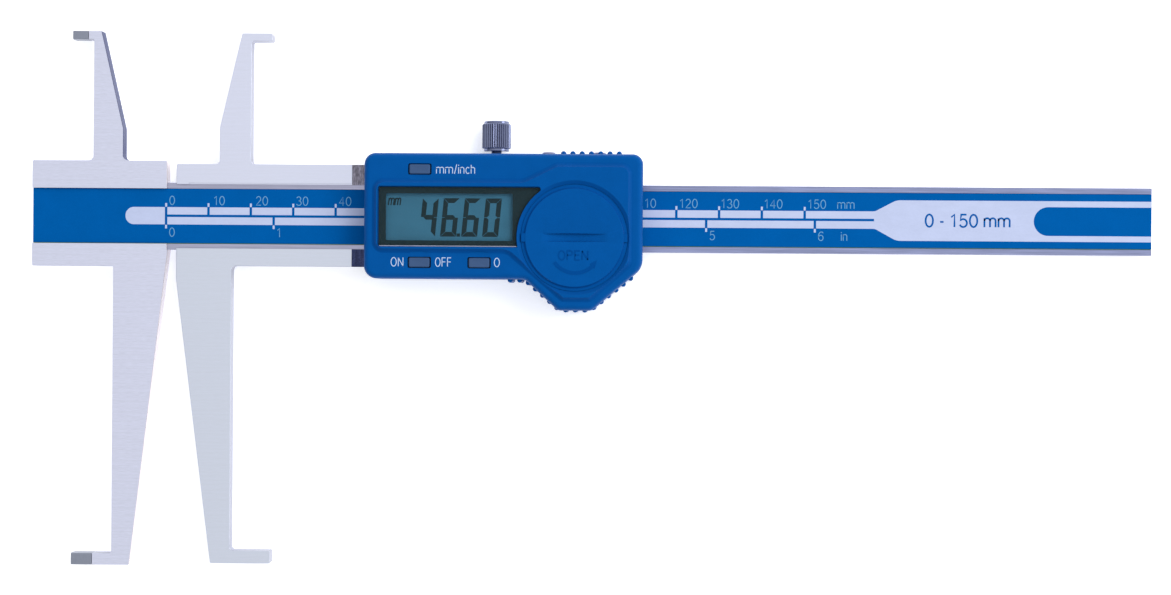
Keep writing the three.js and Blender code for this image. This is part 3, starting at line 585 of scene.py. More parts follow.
# Painted shade: a dark steel for the valleys between the knob's flutes.
knurl_valleys_painted_shade = metal("knurl valleys with painted shade", (0.045, 0.05, 0.10), 0.3, grain=(0.08, 1.5, 0.08), tone=0.12)
knob_steel = metal("nickel plated steel", (0.19, 0.215, 0.34), 0.2, grain=(0.08, 1.5, 0.08), tone=0.12)
# Painted shade: a dark steel for the knob's neck, sunk between the knob and the housing.
knob_neck_painted_shade = metal("knob neck steel with painted shade", (0.03, 0.045, 0.10), 0.3, tone=0.1)
carbide = metal("ground carbide", (0.31, 0.335, 0.41), 0.42, grain=(0.06, 0.8, 0.06), tone=0.08)
brass = metal("brass", (0.55, 0.38, 0.15), 0.35, tone=0.06, **BRUSHED)
film_blue = finish(
    "printed blue", (0.0004, 0.097, 0.36), 0.4, grain=0.25, relief=0.002, specular=0.08,
    tint=BLUE_TINT)
film_white = finish(
    "printed white", (0.50, 0.56, 0.77), 0.45, grain=(0.5, 0.3, 0.3), cloud=(4, 1.5, 2), tone=0.02,
    relief=0.001, specular=0.15)
film_light = finish(
    "printed light blue", (0.15, 0.36, 0.58), 0.45, tone=0.03, relief=0.001, specular=0.15)
moulded_blue = finish(
    "moulded blue", (0.0015, 0.076, 0.31), 0.42, grain=0.22, cloud=3,
    tone=0.06, relief=0.006, **BLUE_PLASTIC)
# Painted shade: a darker, smoother blue for the slopes around the raised face and the cover's shoulder.
slopes_painted_shade = finish("slope blue with painted shade", (0.001, 0.066, 0.285), 0.35, tone=0.04, relief=0.002, **BLUE_PLASTIC)
# Painted shade: a darker blue for the cover's marking, standing in for the shade in engraved letters.
marking_painted_shade = finish(
    "marking blue with painted shade", (0.001, 0.056, 0.255), 0.3, tone=0.04, relief=0.002, **BLUE_PLASTIC)
legend_white = finish("legend white", (0.54, 0.66, 0.86), 0.5, grain=0.1, tone=0.03)
button_grey = finish(
    "button grey", (0.036, 0.082, 0.19), 0.42, grain=0.15, tone=0.06, relief=0.004,
    specular=0.3)
window_clear = finish(
    "window", (0.012, 0.03, 0.035), 0.3, grain=4, tone=0.02, gloss=0.02, relief=0.0005,
    alpha=0.08)
# Painted highlight: a pale opaque grey for the pane's chamfer along its front edge.
pane_chamfer_painted_highlight = finish("window chamfer with painted highlight", (0.55, 0.55, 0.66), 0.3, grain=(1.5, 1.5, 0.1), tone=0.25)
mask_dark = finish("window border", roughness=0.3, **INK)
lcd_glass = finish(
    "display glass", (0.045, 0.18, 0.285), 0.35, grain=0.12, cloud=(8, 4, 4),
    cloud_tone=0.05, relief=0.001, specular=0.1)
segment_dark = finish("display segments", roughness=0.4, **INK)
board_green = finish("circuit board", (0.02, 0.14, 0.06), 0.45, grain=0.6, tone=0.12)
strip_green = finish("scale strip", (0.08, 0.25, 0.14), 0.5, grain=(0.5, 3, 0.5), tone=0.12)
black_plastic = finish("black plastic", (0.015, 0.015, 0.017), 0.45, tone=0.1, relief=0.004)
white_plastic = finish("white plastic", (0.70, 0.70, 0.68), 0.5, tone=0.03, relief=0.004)
rubber = finish("rubber", (0.014, 0.014, 0.014), 0.75, tone=0.12, relief=0.008)
spring_steel = metal("nickel plated strip", (0.56, 0.55, 0.53), 0.3, tone=0.04, **BRUSHED)
back_silver = finish("back label", (0.55, 0.56, 0.58), 0.35, grain=0.3, tone=0.03, relief=0.001)
floor_white = finish(
    "floor", (0.93, 0.93, 0.94), 0.8, grain=2, cloud=80, tone=0.004, cloud_tone=0.004,
    glow=0.5)

# --- beam, fixed side


def fixed_block_outline():
    upper_tip, lower_tip = span("fixed_tip_upper"), span("fixed_tip_lower")
    gap = 0.05
    return rounded([
        (BLOCK_LEFT, BLOCK.bottom, 0.3), (LOWER_JAW.left, BLOCK.bottom, 0.3),
        (LOWER_JAW.left, LOWER_JAW.hook, 0.5), (lower_tip.right + gap, LOWER_JAW.hook, 0),
        (lower_tip.right + gap, lower_tip.low, 0), (LOWER_JAW.bottom_right, lower_tip.low, 0.3),
        (LOWER_JAW.top_right, -RAIL_HALF, 0), (BLOCK.right, -RAIL_HALF, 0),
        (BLOCK.right, BLOCK.top, 0.3), (UPPER_JAW.right, BLOCK.top, 1.2),
        (UPPER_JAW.right, UPPER_JAW.shoulder, 3), (UPPER_JAW.top_right, upper_tip.high, 0.2),
        (upper_tip.right + gap, upper_tip.high, 0), (upper_tip.right + gap, UPPER_JAW.hook, 0),
        (UPPER_JAW.left, UPPER_JAW.hook, 0.4), (UPPER_JAW.left, BLOCK.top, 1.2),
        (BLOCK_LEFT, BLOCK.top, 0.3),
    ])


def build_beam():
    left, right, _, _, bottom, top = span("beam")
    jaws = slab(fixed_block_outline(), bottom, top, EDGE)
    bar = slab(rectangle(left + PAST, right, -RAIL_HALF, RAIL_HALF, 0.2), bottom, RAIL_TOP, EDGE)
    body = join(jaws, bar)
    groove = block(left - PAST, right + PAST, -GROOVE_HALF, GROOVE_HALF, GROOVE_FLOOR, top + PAST)
    holes = [pin(node, 1.0, bottom - PAST, span(node).top + 0.1) for node in END_STOP_SCREWS]
    cut(body, groove, *holes)
    piece(divided(body, WORN_FROM), "beam_steel", "beam", "ground_steel", ground_steel, rail_steel,
          worn_rail_steel, jaw_flank_painted_shade, block_side_painted_light, steel_sides_painted_shade, replaces=["beam"])
    # Painted shade: the side faces get the darker copy of the steel.
    paint(body, steel_sides_painted_shade, lambda at, normal: abs(normal.z) < 0.5)
    paint(body, rail_steel, lambda at, normal: at.x > BLOCK.right and normal.z > 0.9)
    paint(body, worn_rail_steel, lambda at, normal: at.x > WORN_FROM and normal.z > 0.9)
    # Painted shade on the upper fixed jaw's right flank.
    paint(body, jaw_flank_painted_shade, lambda at, normal: at.y > BLOCK.top and normal.x > 0.5)
    # Painted light on the fixed block's right side.
    paint(body, block_side_painted_light, lambda at, normal: (
        at.x < BLOCK.right + 1 and at.y < BLOCK.top and normal.x > 0.5))
    for side in ("upper", "lower"):
        tip = refined_copy(f"fixed_tip_{side}", 0.15)
        piece(tip, f"hard_tip_{side}", "beam", "carbide", carbide, replaces=[f"fixed_tip_{side}"])


# --- printed scale

LINE = 0.58  # width of the blue lines between the white strips
UPPER_STRIP = (0.38, 2.12)
LOWER_STRIP = (-1.95, -0.2)
PILL_START = -9.6
STRIP_END = 166.4
BAND_START = 171.4
BAND = (-4.72, 4.75)
STADIUM_START = 203.4
STADIUM_HALF = 3.36
STUB = (0.45, 0.95)  # width and length of the white stub beyond a tick
NUMERAL = Sizes(height=2.02, stroke=0.18, upper=2.7, lower=-4.78, gap=0.75)
# The printed numbers aren't all at the same distance from their lines.
NUMERAL_SHIFT = {10: 0.45, 20: 0.4, 30: -0.1, 110: 0.5, 130: -0.3, 140: -0.2}
INCH = 25.4


def white_field_outline(tail):
    """White pill, strips and band as one outline."""
    low, high = LOWER_STRIP[0], UPPER_STRIP[1]
    end_radius = (high - low) / 2 - 0.05
    return rounded([
        (PILL_START, low, end_radius), (STRIP_END, low, 1.5),
        (BAND_START, BAND[0], 3.5), (tail, BAND[0], 0),
        (tail, BAND[1], 0), (BAND_START, BAND[1], 3.5),
        (STRIP_END, high, 1.5), (PILL_START, high, end_radius),
    ])


def build_scale():
    left, right, low, high, bottom, top = span("scale_label")
    print_step = 0.012
    base_top = top - 2 * print_step
    white_layer = (base_top, top - print_step)
    blue_layer = (top - print_step, top)
    film = slab(rectangle(left, right, low + 0.15, high), bottom, base_top, 0.03)
    piece(film, "scale_film", "beam", "scale_print", film_blue, replaces=["scale_label"])

    def bar(x, width, y0, y1, layer):
        return block(x - width / 2, x + width / 2, y0, y1, *layer)

    def number(words, x, baseline):
        return lettering(words, x + NUMERAL.gap, baseline, NUMERAL.height, NUMERAL.stroke, *white_layer)

    white = [slab(white_field_outline(right - 0.05), *white_layer)]
    blue = [block(-LINE / 2, STRIP_END - 0.2, LOWER_STRIP[1], UPPER_STRIP[0], *blue_layer)]
    stadium = arc((STADIUM_START + STADIUM_HALF, 0), STADIUM_HALF, 90, 270)
    ends = [Vector((right - 0.06, -STADIUM_HALF)), Vector((right - 0.06, STADIUM_HALF))]
    blue.append(slab(stadium + ends, *blue_layer))
    numerals = []
    for reading in range(0, 151, 10):
        white.append(bar(reading, STUB[0], UPPER_STRIP[1], UPPER_STRIP[1] + STUB[1], white_layer))
        blue.append(bar(reading, LINE, UPPER_STRIP[0], UPPER_STRIP[1] + 0.1, blue_layer))
        numerals.append(number(str(reading), reading + NUMERAL_SHIFT.get(reading, 0), NUMERAL.upper))
    for inches in range(7):
        x = inches * INCH
        white.append(bar(x, STUB[0], LOWER_STRIP[0] - STUB[1], LOWER_STRIP[0], white_layer))
        blue.append(bar(x, LINE, LOWER_STRIP[0] - 0.1, LOWER_STRIP[1], blue_layer))
        numerals.append(number(str(inches), x, NUMERAL.lower))
    numerals.append(number("mm", 156.85, NUMERAL.upper))
    numerals.append(number("in", 157.75, NUMERAL.lower))
    blue.append(lettering("0 - 150 mm", 178.0, -1.4, 2.9, 0.42, *blue_layer, right=198.0))
    piece(merged(white), "scale_white", "beam", "scale_print", film_white)
    piece(merged(blue), "scale_lines", "beam", "scale_print", film_blue)
    piece(merged(numerals), "scale_numerals", "beam", "scale_print", film_light)


# --- slider


def slider_outline(left):
    upper, lower = SLIDING_UPPER, SLIDING_LOWER
    return rounded([
        (left, lower.shoulder, 3), (lower.bottom_left, lower.bottom, 0.3),
        (lower.end, lower.bottom, 0.3), (lower.end, lower.hook, 0.3),
        (lower.right, lower.hook, 0.8), (lower.right, BAR.bottom, 1.0),
        (BAR.right, BAR.bottom, 0.4), (BAR.right, BAR.top, 0.4),
        (upper.right, BAR.top, 1.0), (upper.right, upper.hook, 0.5),
        (upper.end, upper.hook, 0.4), (upper.end, upper.top, 0.4),
        (upper.top_left, upper.top, 0.3), (upper.left, upper.shoulder, 3),
        (upper.left, BAR.top, 1.0), (left, BAR.top, 0.4),
    ])


def build_slider():
    left, right, _, _, bottom, top = span("slider_frame")
    jaw_back = span("beam").bottom
    before, after, above = left - PAST, right + PAST, top + PAST
    body = join(
        slab(slider_outline(left), jaw_back, top, EDGE),
        slab(rectangle(left, right, BAR.bottom, BAR.top, 0.4), bottom, top - 0.3, 0.2))
    label_bed = inset(rectangle(*span("back_label")[:4]), -0.05)
    tools = [
        block(before, after, *CHANNEL, BACK_PLATE_TOP, LIP_BOTTOM),
        block(before, after, -LIP_HALF, LIP_HALF, LIP_BOTTOM - 0.1, above),
        block(REBATE.start, BAR.ground_end + PAST, 0, REBATE.edge, REBATE.floor, above),
        block(BAR.ground_end, after, BAR.bottom - PAST, BAR.top + PAST, ROUGH_TOP, above),
        block(BAR.lip_end, after, *CHANNEL, LIP_BOTTOM - 0.1, above),
        slab(label_bed, -PAST, 0.3),
    ]
    for node in ("lock_screw", "gib_screw_1", "gib_screw_2"):
        hole = slab(circle((0, 0), 1.3, 32), CHANNEL[1] - 0.5, BAR.top + PAST)
        tools.append(along_y(hole, centre_of(node)[0]))
    for housing_screw, board_screw in zip(HOUSING_SCREWS, BOARD_SCREWS):
        tools.append(pin(housing_screw, 1.0, -PAST, above))
        tools.append(pin(housing_screw, 1.5, -PAST, 1.05))
        tools.append(pin(board_screw, 0.85, 2.0, above))
    cut(body, *tools)
    piece(divided(body, BAR.ground_end), "slider_steel", "slider", "slider_steel", slider_steel,
          rough_steel, lower_milled_painted_shade, upper_half_painted_light, steel_sides_painted_shade, replaces=["slider_frame"])
    # Painted light: the upper half of the ground part gets the lighter copy of the slider's steel.
    paint(body, upper_half_painted_light, lambda at, normal: at.x < BAR.ground_end and at.y > 0)
    # Painted shade: the side faces get the darker copy of the steel.
    paint(body, steel_sides_painted_shade, lambda at, normal: abs(normal.z) < 0.5)
    paint(body, rough_steel, lambda at, normal: (
        at.x > BAR.ground_end and at.z > LIP_BOTTOM and normal.z > 0.9))
    # Painted shade: the lower half of the milled strip gets the dark copy of the milled steel.
    paint(body, lower_milled_painted_shade, lambda at, normal: (
        at.x > BAR.ground_end and at.y < 0 and at.z > BACK_PLATE_TOP and abs(normal.x) < 0.9))


# --- housing


def housing_outline():
    left, right = span("display_housing")[:2]
    return rounded([
        (left, HOUSING_BOTTOM, 3), (GRIP.start, HOUSING_BOTTOM, 2.5),
        (GRIP.left, GRIP.bottom, 2), (GRIP.right, GRIP.bottom, 2.5),
        (right, GRIP.right_end, 4), (right, HOUSING_TOP, 2.4),
        (left, HOUSING_TOP, 2.6),
    ])


def plateau_outline():
    """Foot of the raised face: narrow over the display, wide over the battery and grip."""
    return rounded([
        (FACE.left, FACE.bottom, 2.7), (FACE.display_end, FACE.bottom, 3),
        (FACE.grip_left, FACE.grip_bottom, 1.6), (FACE.grip_right, FACE.grip_bottom, 1.6),
        (FACE.right, FACE.right_end, 2.4), (FACE.right, FACE.top, 2.7),
        (FACE.step_end, FACE.top, 3), (FACE.step_start, FACE.display_top, 3.5),
        (FACE.left, FACE.display_top, 2.7),
    ])


def hollow_slope(low, high, width, power, crest=0.12, steps=8):
    """Levels (height, inset) of a slope that steepens upwards and ends in a small radius."""
    rise = high - low - crest
    shares = [i / steps for i in range(steps + 1)]
    levels = [(low + rise * share**power, (width - crest) * share) for share in shares]
    return levels + [(high - crest * 0.3, width - crest * 0.3), (high, width + crest * 0.4)]


def window_outline():
    """Left part rectangular, right side following the battery cover."""
    battery = centre_of("battery")
    left, bottom, top = WINDOW.left, WINDOW.bottom, WINDOW.top
    radius, corner = WINDOW.arc, WINDOW.corner
    rise = top - corner - battery[1]
    tip = (battery[0] - math.sqrt((radius + corner) ** 2 - rise**2), top - corner)
    start = 180 - math.degrees(math.asin((bottom - battery[1]) / radius))
    end = 180 - math.degrees(math.asin(rise / (radius + corner)))
    return (
        arc((left + corner, bottom + corner), corner, 180, 270)
        + arc(battery, radius, start, end)
        + arc(tip, corner, end - 180, 90)[1:]
        + arc((left + corner, top - corner), corner, 90, 180))


def spaced(path, pitch):
    """Points at equal steps, about a pitch apart, along a path."""
    lengths = [(b - a).length for a, b in zip(path, path[1:])]
    count = math.floor(sum(lengths) / pitch)
    step = sum(lengths) / count
    places, done = [], 0.0
    ends = iter(zip(path, path[1:], lengths))
    start, end, length = next(ends)
    for i in range(count + 1):
        target = min(i * step, sum(lengths) - 1e-6)
        while target > done + length:
            done += length
            start, end, length = next(ends)
        places.append(start.lerp(end, (target - done) / length))
    return places


def rib_places():
    trim = 0.3
    corners = [
        (GRIP.start - RIB.lead, HOUSING_BOTTOM), (GRIP.start, HOUSING_BOTTOM),
        (GRIP.left + trim, GRIP.bottom + trim), (GRIP.right - trim, GRIP.bottom + trim), RIB.last,
    ]
    path = [Vector(corner) for corner in corners]
    grip = [(p.x, p.y - RIB.stand_out) for p in spaced(path, RIB.pitch)]
    top = [
        (TOP_RIBS.first + i * TOP_RIBS.pitch, HOUSING_TOP + RIB.stand_out)
        for i in range(TOP_RIBS.count)
    ]
    return grip + top


def sector(centre, inner, outer, middle, width):
    """Outline of a piece of a ring, about a middle angle in degrees."""
    start, end = middle - width / 2, middle + width / 2
    return arc(centre, outer, start, end) + arc(centre, inner, end, start)


def scoop(x, y, width=5.6, depth=2.3, drop=0.2):
    """A cutting shape that leaves a shallow oval hollow beside a button."""
    shares = [i / 6 for i in range(7)]
    bowl = [(share, drop * (share * share - 1)) for share in shares]
    shape = turned(bowl + [(1, PAST), (0, PAST)], 40)
    shape.data.transform(Matrix.Diagonal((width / 2, depth / 2, 1, 1)))
    return moved(shape, x, y, RIM_TOP)


def rib_shape(place, low):
    """One rib of the thumb grip, with a round upper end."""
    radius, top = RIB.radius, 12.1
    return loft(circle(place, radius, 20), [(low, 0)] + rim(top, radius * 0.8, 4))


def housing_inside():
    """Cutting shapes for the cavity, the thumb grip's hollow and the ways for bar and beam."""
    left, right = span("display_housing")[:2]
    inner_left, inner_right = CAVITY[:2]
    way_top = ROUGH_TOP + 0.05
    bar_gap, beam_half = 0.2, RAIL_HALF + 0.4
    grip = rounded([(88.2, -12, 0), (93.6, -18.6, 1), (99.4, -18.6, 1), (107.5, -12, 0)])
    return [
        slab(rectangle(*CAVITY, 1.0), -PAST, CEILING),
        slab(grip, 2.2, CUP_FLOOR[0]),
        block(left - PAST, inner_left + PAST, BAR.bottom - bar_gap, BAR.top + bar_gap, -PAST, way_top),
        block(inner_right - PAST, right + PAST, -beam_half, beam_half, -PAST, way_top),
    ]


def side_hole(node, radius):
    """Cutting shapes for a round hole in the top edge that is open towards the back."""
    x = centre_of(node)[0]
    inner, outer = CAVITY[3] - PAST, HOUSING_TOP + PAST
    return [
        along_y(slab(circle((0, 0), radius, 40), inner, outer), x),
        block(x - radius, x + radius, inner, outer, -PAST, SIDE_SCREW_Z),
    ]


def button_hole(node):
    """Cutting shapes for a button's opening and the thumbnail hollow beside it."""
    x, y = centre_of(node)
    half_x, half_y = BUTTON_OPENING[0] / 2, BUTTON_OPENING[1] / 2
    opening = rectangle(x - half_x, x + half_x, y - half_y, y + half_y, 0.4)
    towards_display = -1 if y > 0 else 1
    return [
        loft(opening, [(CEILING - PAST, 0)] + flare(RIM_TOP, 0.15)),
        scoop(x, y + towards_display * (half_y + 0.25)),
    ]


def battery_well():
    """Cutting shapes for the battery's well, its moat and the bayonet's groove and two entries."""
    battery = centre_of("battery")
    above = PLATEAU_TOP + PAST
    wall = WELL.moat_wall
    moat = [
        (WELL.floor, 0), (WELL.moat_foot, 0), (PLATEAU_TOP - 0.08, 0.12 - wall),
        (PLATEAU_TOP, -wall), (above, -wall),
    ]
    tools = [
        loft(circle(battery, WELL.radius, 96), [(CUP_FLOOR[1], 0)] + flare(WELL.floor, 0.1)),
        loft(circle(battery, WELL.moat, 96), moat),
        slab(circle(battery, BAYONET.groove), BAYONET.bottom, BAYONET.top),
    ]
    for angle in (90, 270):
        entry = sector(
            battery, BAYONET.inner, BAYONET.groove, angle + BAYONET.open, BAYONET.width + 6)
        tools.append(slab(entry, BAYONET.bottom, above))
    return tools


def contact_slots():
    """Cutting shapes for the slots that the feet of the battery contacts pass through."""
    foot = 0.3
    plus, minus = span("battery_contact_plus"), span("battery_contact_minus")
    slots = (
        inset(rectangle(plus.left, plus.right, plus.low, plus.low + foot), -0.25),
        inset(rectangle(minus.left, minus.left + foot, minus.low, minus.high), -0.35))
    return [slab(slot, CUP_FLOOR[0] - PAST, CUP_FLOOR[1] + PAST) for slot in slots]


def build_housing():
    battery = centre_of("battery")
    low = span("display_housing").bottom
    shell = loft(housing_outline(), [(low, 0.15), (low + 0.15, 0)] + rim(RIM_TOP, BEVEL, 8))
    raised = loft(plateau_outline(), [(RIM_TOP - 0.7, 0)] + hollow_slope(RIM_TOP, PLATEAU_TOP, SLOPE, 1.5))
    body = join(shell, raised, *[rib_shape(place, low) for place in rib_places()])
    cut(body, *housing_inside())
    cup = slab(circle(battery, WELL.cup), CUP_FLOOR[0], PLATEAU_TOP - 1)
    join(body, cup, *[pin(screw, 2.0, ROUGH_TOP + 0.05, CEILING + 0.5) for screw in HOUSING_SCREWS])

    tools = [pin(screw, 1.0, ROUGH_TOP - PAST, 9.9) for screw in HOUSING_SCREWS]
    for node, radius in (("lock_screw", 1.9), ("gib_screw_1", 2.2), ("gib_screw_2", 2.2)):
        tools += side_hole(node, radius)
    tools.append(block(*LCD_OPENING, CEILING - PAST, PLATEAU_TOP + PAST))
    tools.append(loft(window_outline(), [(WINDOW_SEAT, 0)] + flare(PLATEAU_TOP, 0.15)))
    for node in ("button_unit", "button_power", "button_zero"):
        tools += button_hole(node)
    cut(body, *tools, *battery_well(), *contact_slots())
    piece(body, "housing_shell", "slider", "housing_blue", moulded_blue, slopes_painted_shade,
          replaces=["display_housing"], sharp=32)
    # Painted shade on the slopes around the raised face and in the moat.
    paint(body, slopes_painted_shade, lambda at, normal: (
        RIM_TOP + 0.01 < at.z < PLATEAU_TOP - 0.06 and 0.3 < normal.z < 0.985))


LEGENDS = (  # words, left end, baseline, right end
    ("mm/inch", 64.4, 9.9, 73.4),
    ("ON", 54.06, -11.55, 56.99),
    ("OFF", 64.3, -11.55, 68.1),
    ("0", 77.9, -11.55, 79.25),
)


def build_legends():
    """Plain words printed beside the buttons."""
    height, stroke = 2.0, 0.175
    z0, z1 = RIM_TOP - 0.05, RIM_TOP + 0.015
    legends = [
        lettering(words, left, baseline, height, stroke, z0, z1, right=right)
        for words, left, baseline, right in LEGENDS
    ]
    piece(merged(legends), "button_legends", "slider", "white_moulding", legend_white)


# --- display


def build_window():
    bottom, top = span("lcd_window")[4:]
    chamfer = 0.2
    pane = loft(inset(window_outline(), 0.1), [(bottom, 0), (top - chamfer, 0), (top, chamfer)])
    piece(pane, "window_pane", "slider", "window_glass", window_clear, pane_chamfer_painted_highlight,
          replaces=["lcd_window"])
    # Painted highlight on the chamfer along the pane's front edge.
    paint(pane, pane_chamfer_painted_highlight, lambda at, normal: 0.3 < normal.z < 0.9 and normal.y < -0.6)
    border = slab(inset(window_outline(), 0.12), WINDOW_SEAT + 0.004, bottom - 0.004)
    opening = slab(rectangle(*VIEWING_AREA, 0.25), WINDOW_SEAT - PAST, bottom + PAST)
    piece(cut(border, opening), "window_border", "slider", "window_glass", mask_dark)


DIGIT = Sizes(width=3.7, height=8.88, stroke=1.1, gap=0.06, slant=5.5)
DIGIT_LEFTS = (60.4, 65.27, 70.14, 75.0)
DIGIT_BASE = -4.62
POINT = (69.1, 69.9)  # from left to right
POINT_HEIGHT = 0.75
LIT = {"4": "fgbc", "6": "afgecd", "0": "abcdef"}


def segment_outlines():
    """Outlines of the seven segments of an upright digit, by their usual letters."""
    wide, tall, stroke, gap = DIGIT.width, DIGIT.height, DIGIT.stroke, DIGIT.gap
    middle = tall / 2
    side = [
        (wide, middle + gap), (wide, tall - gap), (wide - stroke, tall - stroke - gap),
        (wide - stroke, middle + 0.4 * stroke + gap), (wide - 0.6 * stroke, middle + gap),
    ]
    top = [
        (gap, tall), (stroke + gap, tall - stroke),
        (wide - stroke - gap, tall - stroke), (wide - gap, tall),
    ]
    bar = [
        (stroke / 2 + gap, middle), (stroke + gap, middle - stroke / 2),
        (wide - stroke - gap, middle - stroke / 2), (wide - stroke / 2 - gap, middle),
        (wide - stroke - gap, middle + stroke / 2), (stroke + gap, middle + stroke / 2),
    ]

    def mirrored(points, across=False, down=False):
        flipped = [(wide - x if across else x, tall - y if down else y) for x, y in points]
        return flipped if across == down else flipped[::-1]

    return {
        "a": top, "g": bar, "d": mirrored(top, down=True),
        "b": side, "c": mirrored(side, down=True),
        "f": mirrored(side, across=True), "e": mirrored(side, across=True, down=True),
    }


def build_display():
    left, right, low, high, bottom, top = span("lcd_panel")
    glass = slab(rectangle(left, right, low, high, 0.15), bottom, top, 0.06)
    piece(glass, "display_glass", "slider", "lcd", lcd_glass, replaces=["lcd_panel"])
    lean = math.tan(math.radians(DIGIT.slant))
    outlines = segment_outlines()
    ink = top + 0.02
    shapes = []
    for x, figure in zip(DIGIT_LEFTS, "4660"):
        for letter in LIT[figure]:
            points = [Vector((x + px + py * lean, DIGIT_BASE + py)) for px, py in outlines[letter]]
            shapes.append(slab(points, top, ink))
    shapes.append(slab(rectangle(*POINT, DIGIT_BASE, DIGIT_BASE + POINT_HEIGHT), top, ink))
    shapes.append(lettering("mm", 53.1, 2.57, 2.25, 0.3, top, ink, right=56.1, slant=8))
    piece(merged(shapes), "display_segments", "slider", "lcd", segment_dark)


# --- buttons


def dished_cap(x, y, top, half_x=2.4, half_y=1.1, dip=0.1):
    """A button's cap with rounded edges and a top that dips towards its middle."""
    mesh = bmesh.new()
    edge = rectangle(-half_x, half_x, -half_y, half_y, 0.35)
    rings = [(edge, 11.7)] + [(inset(edge, depth), z) for z, depth in rim(top, 0.25, 4)]
    inner = rings[-1][0]
    for i in range(1, 6):
        share = 1 - i / 6
        rings.append(([p * share for p in inner], top - dip * (1 - share * share)))
    loops = [[mesh.verts.new((p.x + x, p.y + y, z)) for p in points] for points, z in rings]
    middle = mesh.verts.new((x, y, top - dip))
    mesh.faces.new(reversed(loops[0]))
    for i in range(len(edge)):
        mesh.faces.new((loops[-1][i - 1], loops[-1][i], middle))
    bridge(mesh, loops)
    return shape_from(mesh)


def build_buttons():
    for name in ("unit", "power", "zero"):
        node = f"button_{name}"
        x0, x1, y0, y1, z0, z1 = span(node)
        x, y = centre_of(node)
        cap = dished_cap(x, y, z1)
        collar = slab(rectangle(x0, x1, y0, y1, 0.2), 11.6, 12.5, 0.08)
        stem = slab(circle((x, y), 0.8, 24), z0, 12.0, 0.08)
        piece(join(cap, collar, stem), f"{name}_button_cap", f"{name}_button", "button_grey",
              button_grey, replaces=[node])


# --- battery cover


def arrow_outline(centre, radius, band, start, end):
    """A bent arrow from the start angle to the end angle, with its head at the end."""
    head = 9
    tail = arc(centre, radius, start, end - head)
    back = arc(centre, radius - band, end - head, start)

    def at(distance, angle):
        return polar(centre, distance, math.radians(angle))

    middle = radius - band / 2
    barb = band * 0.9
    point = [at(middle + barb, end - head), at(middle, end + head), at(middle - barb, end - head)]
    return tail + point + back


def coin(top):
    """A large coin standing on edge: it cuts a slot that is deepest in its middle."""
    half, depth, taper = COIN_SLOT.coin / 2, COIN_SLOT.depth, COIN_SLOT.taper
    radius = ((COIN_SLOT.length / 2) ** 2 + depth**2) / (2 * depth)
    profile = [
        (0, -half), (radius - depth, -half), (radius, taper - half),
        (radius, half - taper), (radius - depth, half), (0, half),
    ]
    return along_y(turned(profile, 360), 0, top + radius - depth)


def build_battery_cover():
    bottom, top = span("battery_cover")[4:]
    x, y = centre_of("battery")
    slope = hollow_slope(COVER.skirt_top, top, COVER.skirt - COVER.top_radius, 6)
    shoulder = [(COVER.skirt - depth, height) for height, depth in slope]
    plug = [(0, bottom), (COVER.plug, bottom), (COVER.plug, COVER.flange)]
    disc = turned(plug + [(COVER.skirt, COVER.flange)] + shoulder + [(0, top)], 128)
    lug_reach = WELL.moat - 0.15
    lugs = slab(rectangle(-lug_reach, lug_reach, -1.0, 1.0, 0.2), COVER.flange, PLATEAU_TOP, 0.1)
    tabs = [
        slab(sector((0, 0), BAYONET.inner, BAYONET.tab, angle, BAYONET.width), bottom, 13.4)
        for angle in (90, 270)
    ]
    body = join(disc, lugs, *tabs)
    rim_width, rim_depth = 0.16, 0.1
    half_length, half_width = COIN_SLOT.length / 2, COIN_SLOT.width / 2
    mouth = rectangle(-half_length, half_length, -half_width, half_width, 0.3)
    cut(body, loft(mouth, [(top - rim_depth, rim_width), (top, 0), (top + PAST, 0)]), coin(top))
    piece(moved(body, x, y), "battery_cover_disc", "cover", "cover_blue", moulded_blue,
          slopes_painted_shade, replaces=["battery_cover"])
    # Painted shade on the cover's shoulder.
    paint(body, slopes_painted_shade, lambda at, normal: (
        COVER.flange < at.z < top - 0.06 and math.dist(at[:2], (x, y)) > COVER.top_radius))

    raised = (top - 0.04, top + 0.06)
    word = lettering("OPEN", 92.65, -9.85, 2.1, 0.32, *raised, right=99.7)
    arrow = slab(arrow_outline((x + 0.23, y - 2.34), 6.2, 0.85, 215, 322), *raised)
    # Painted shade: the raised marking gets the darker blue.
    piece(merged([word, arrow]), "cover_marking", "cover", "cover_blue", marking_painted_shade)


# --- screws


KNOB = Sizes(start=15.69, radius=3.25, boss=2.95, shank=1.2, flutes=36, flute_depth=0.11)


def knob_profile(start, end):
    """(radius, height) from the shank's tip to the knob's outer face."""
    low, knob, boss, shank = KNOB.start, KNOB.radius, KNOB.boss, KNOB.shank
    return [
        (0, start), (shank - 0.2, start), (shank, start + 0.3), (shank, low),
        (boss - 0.1, low), (boss, low + 0.1), (boss, low + 0.55),
        (knob - 0.1, low + 0.65), (knob, low + 0.8),
        (knob, end - 0.8), (knob - 0.1, end - 0.65), (boss, end - 0.5),
        (boss, end - 0.15), (boss - 0.15, end), (0, end),
    ]


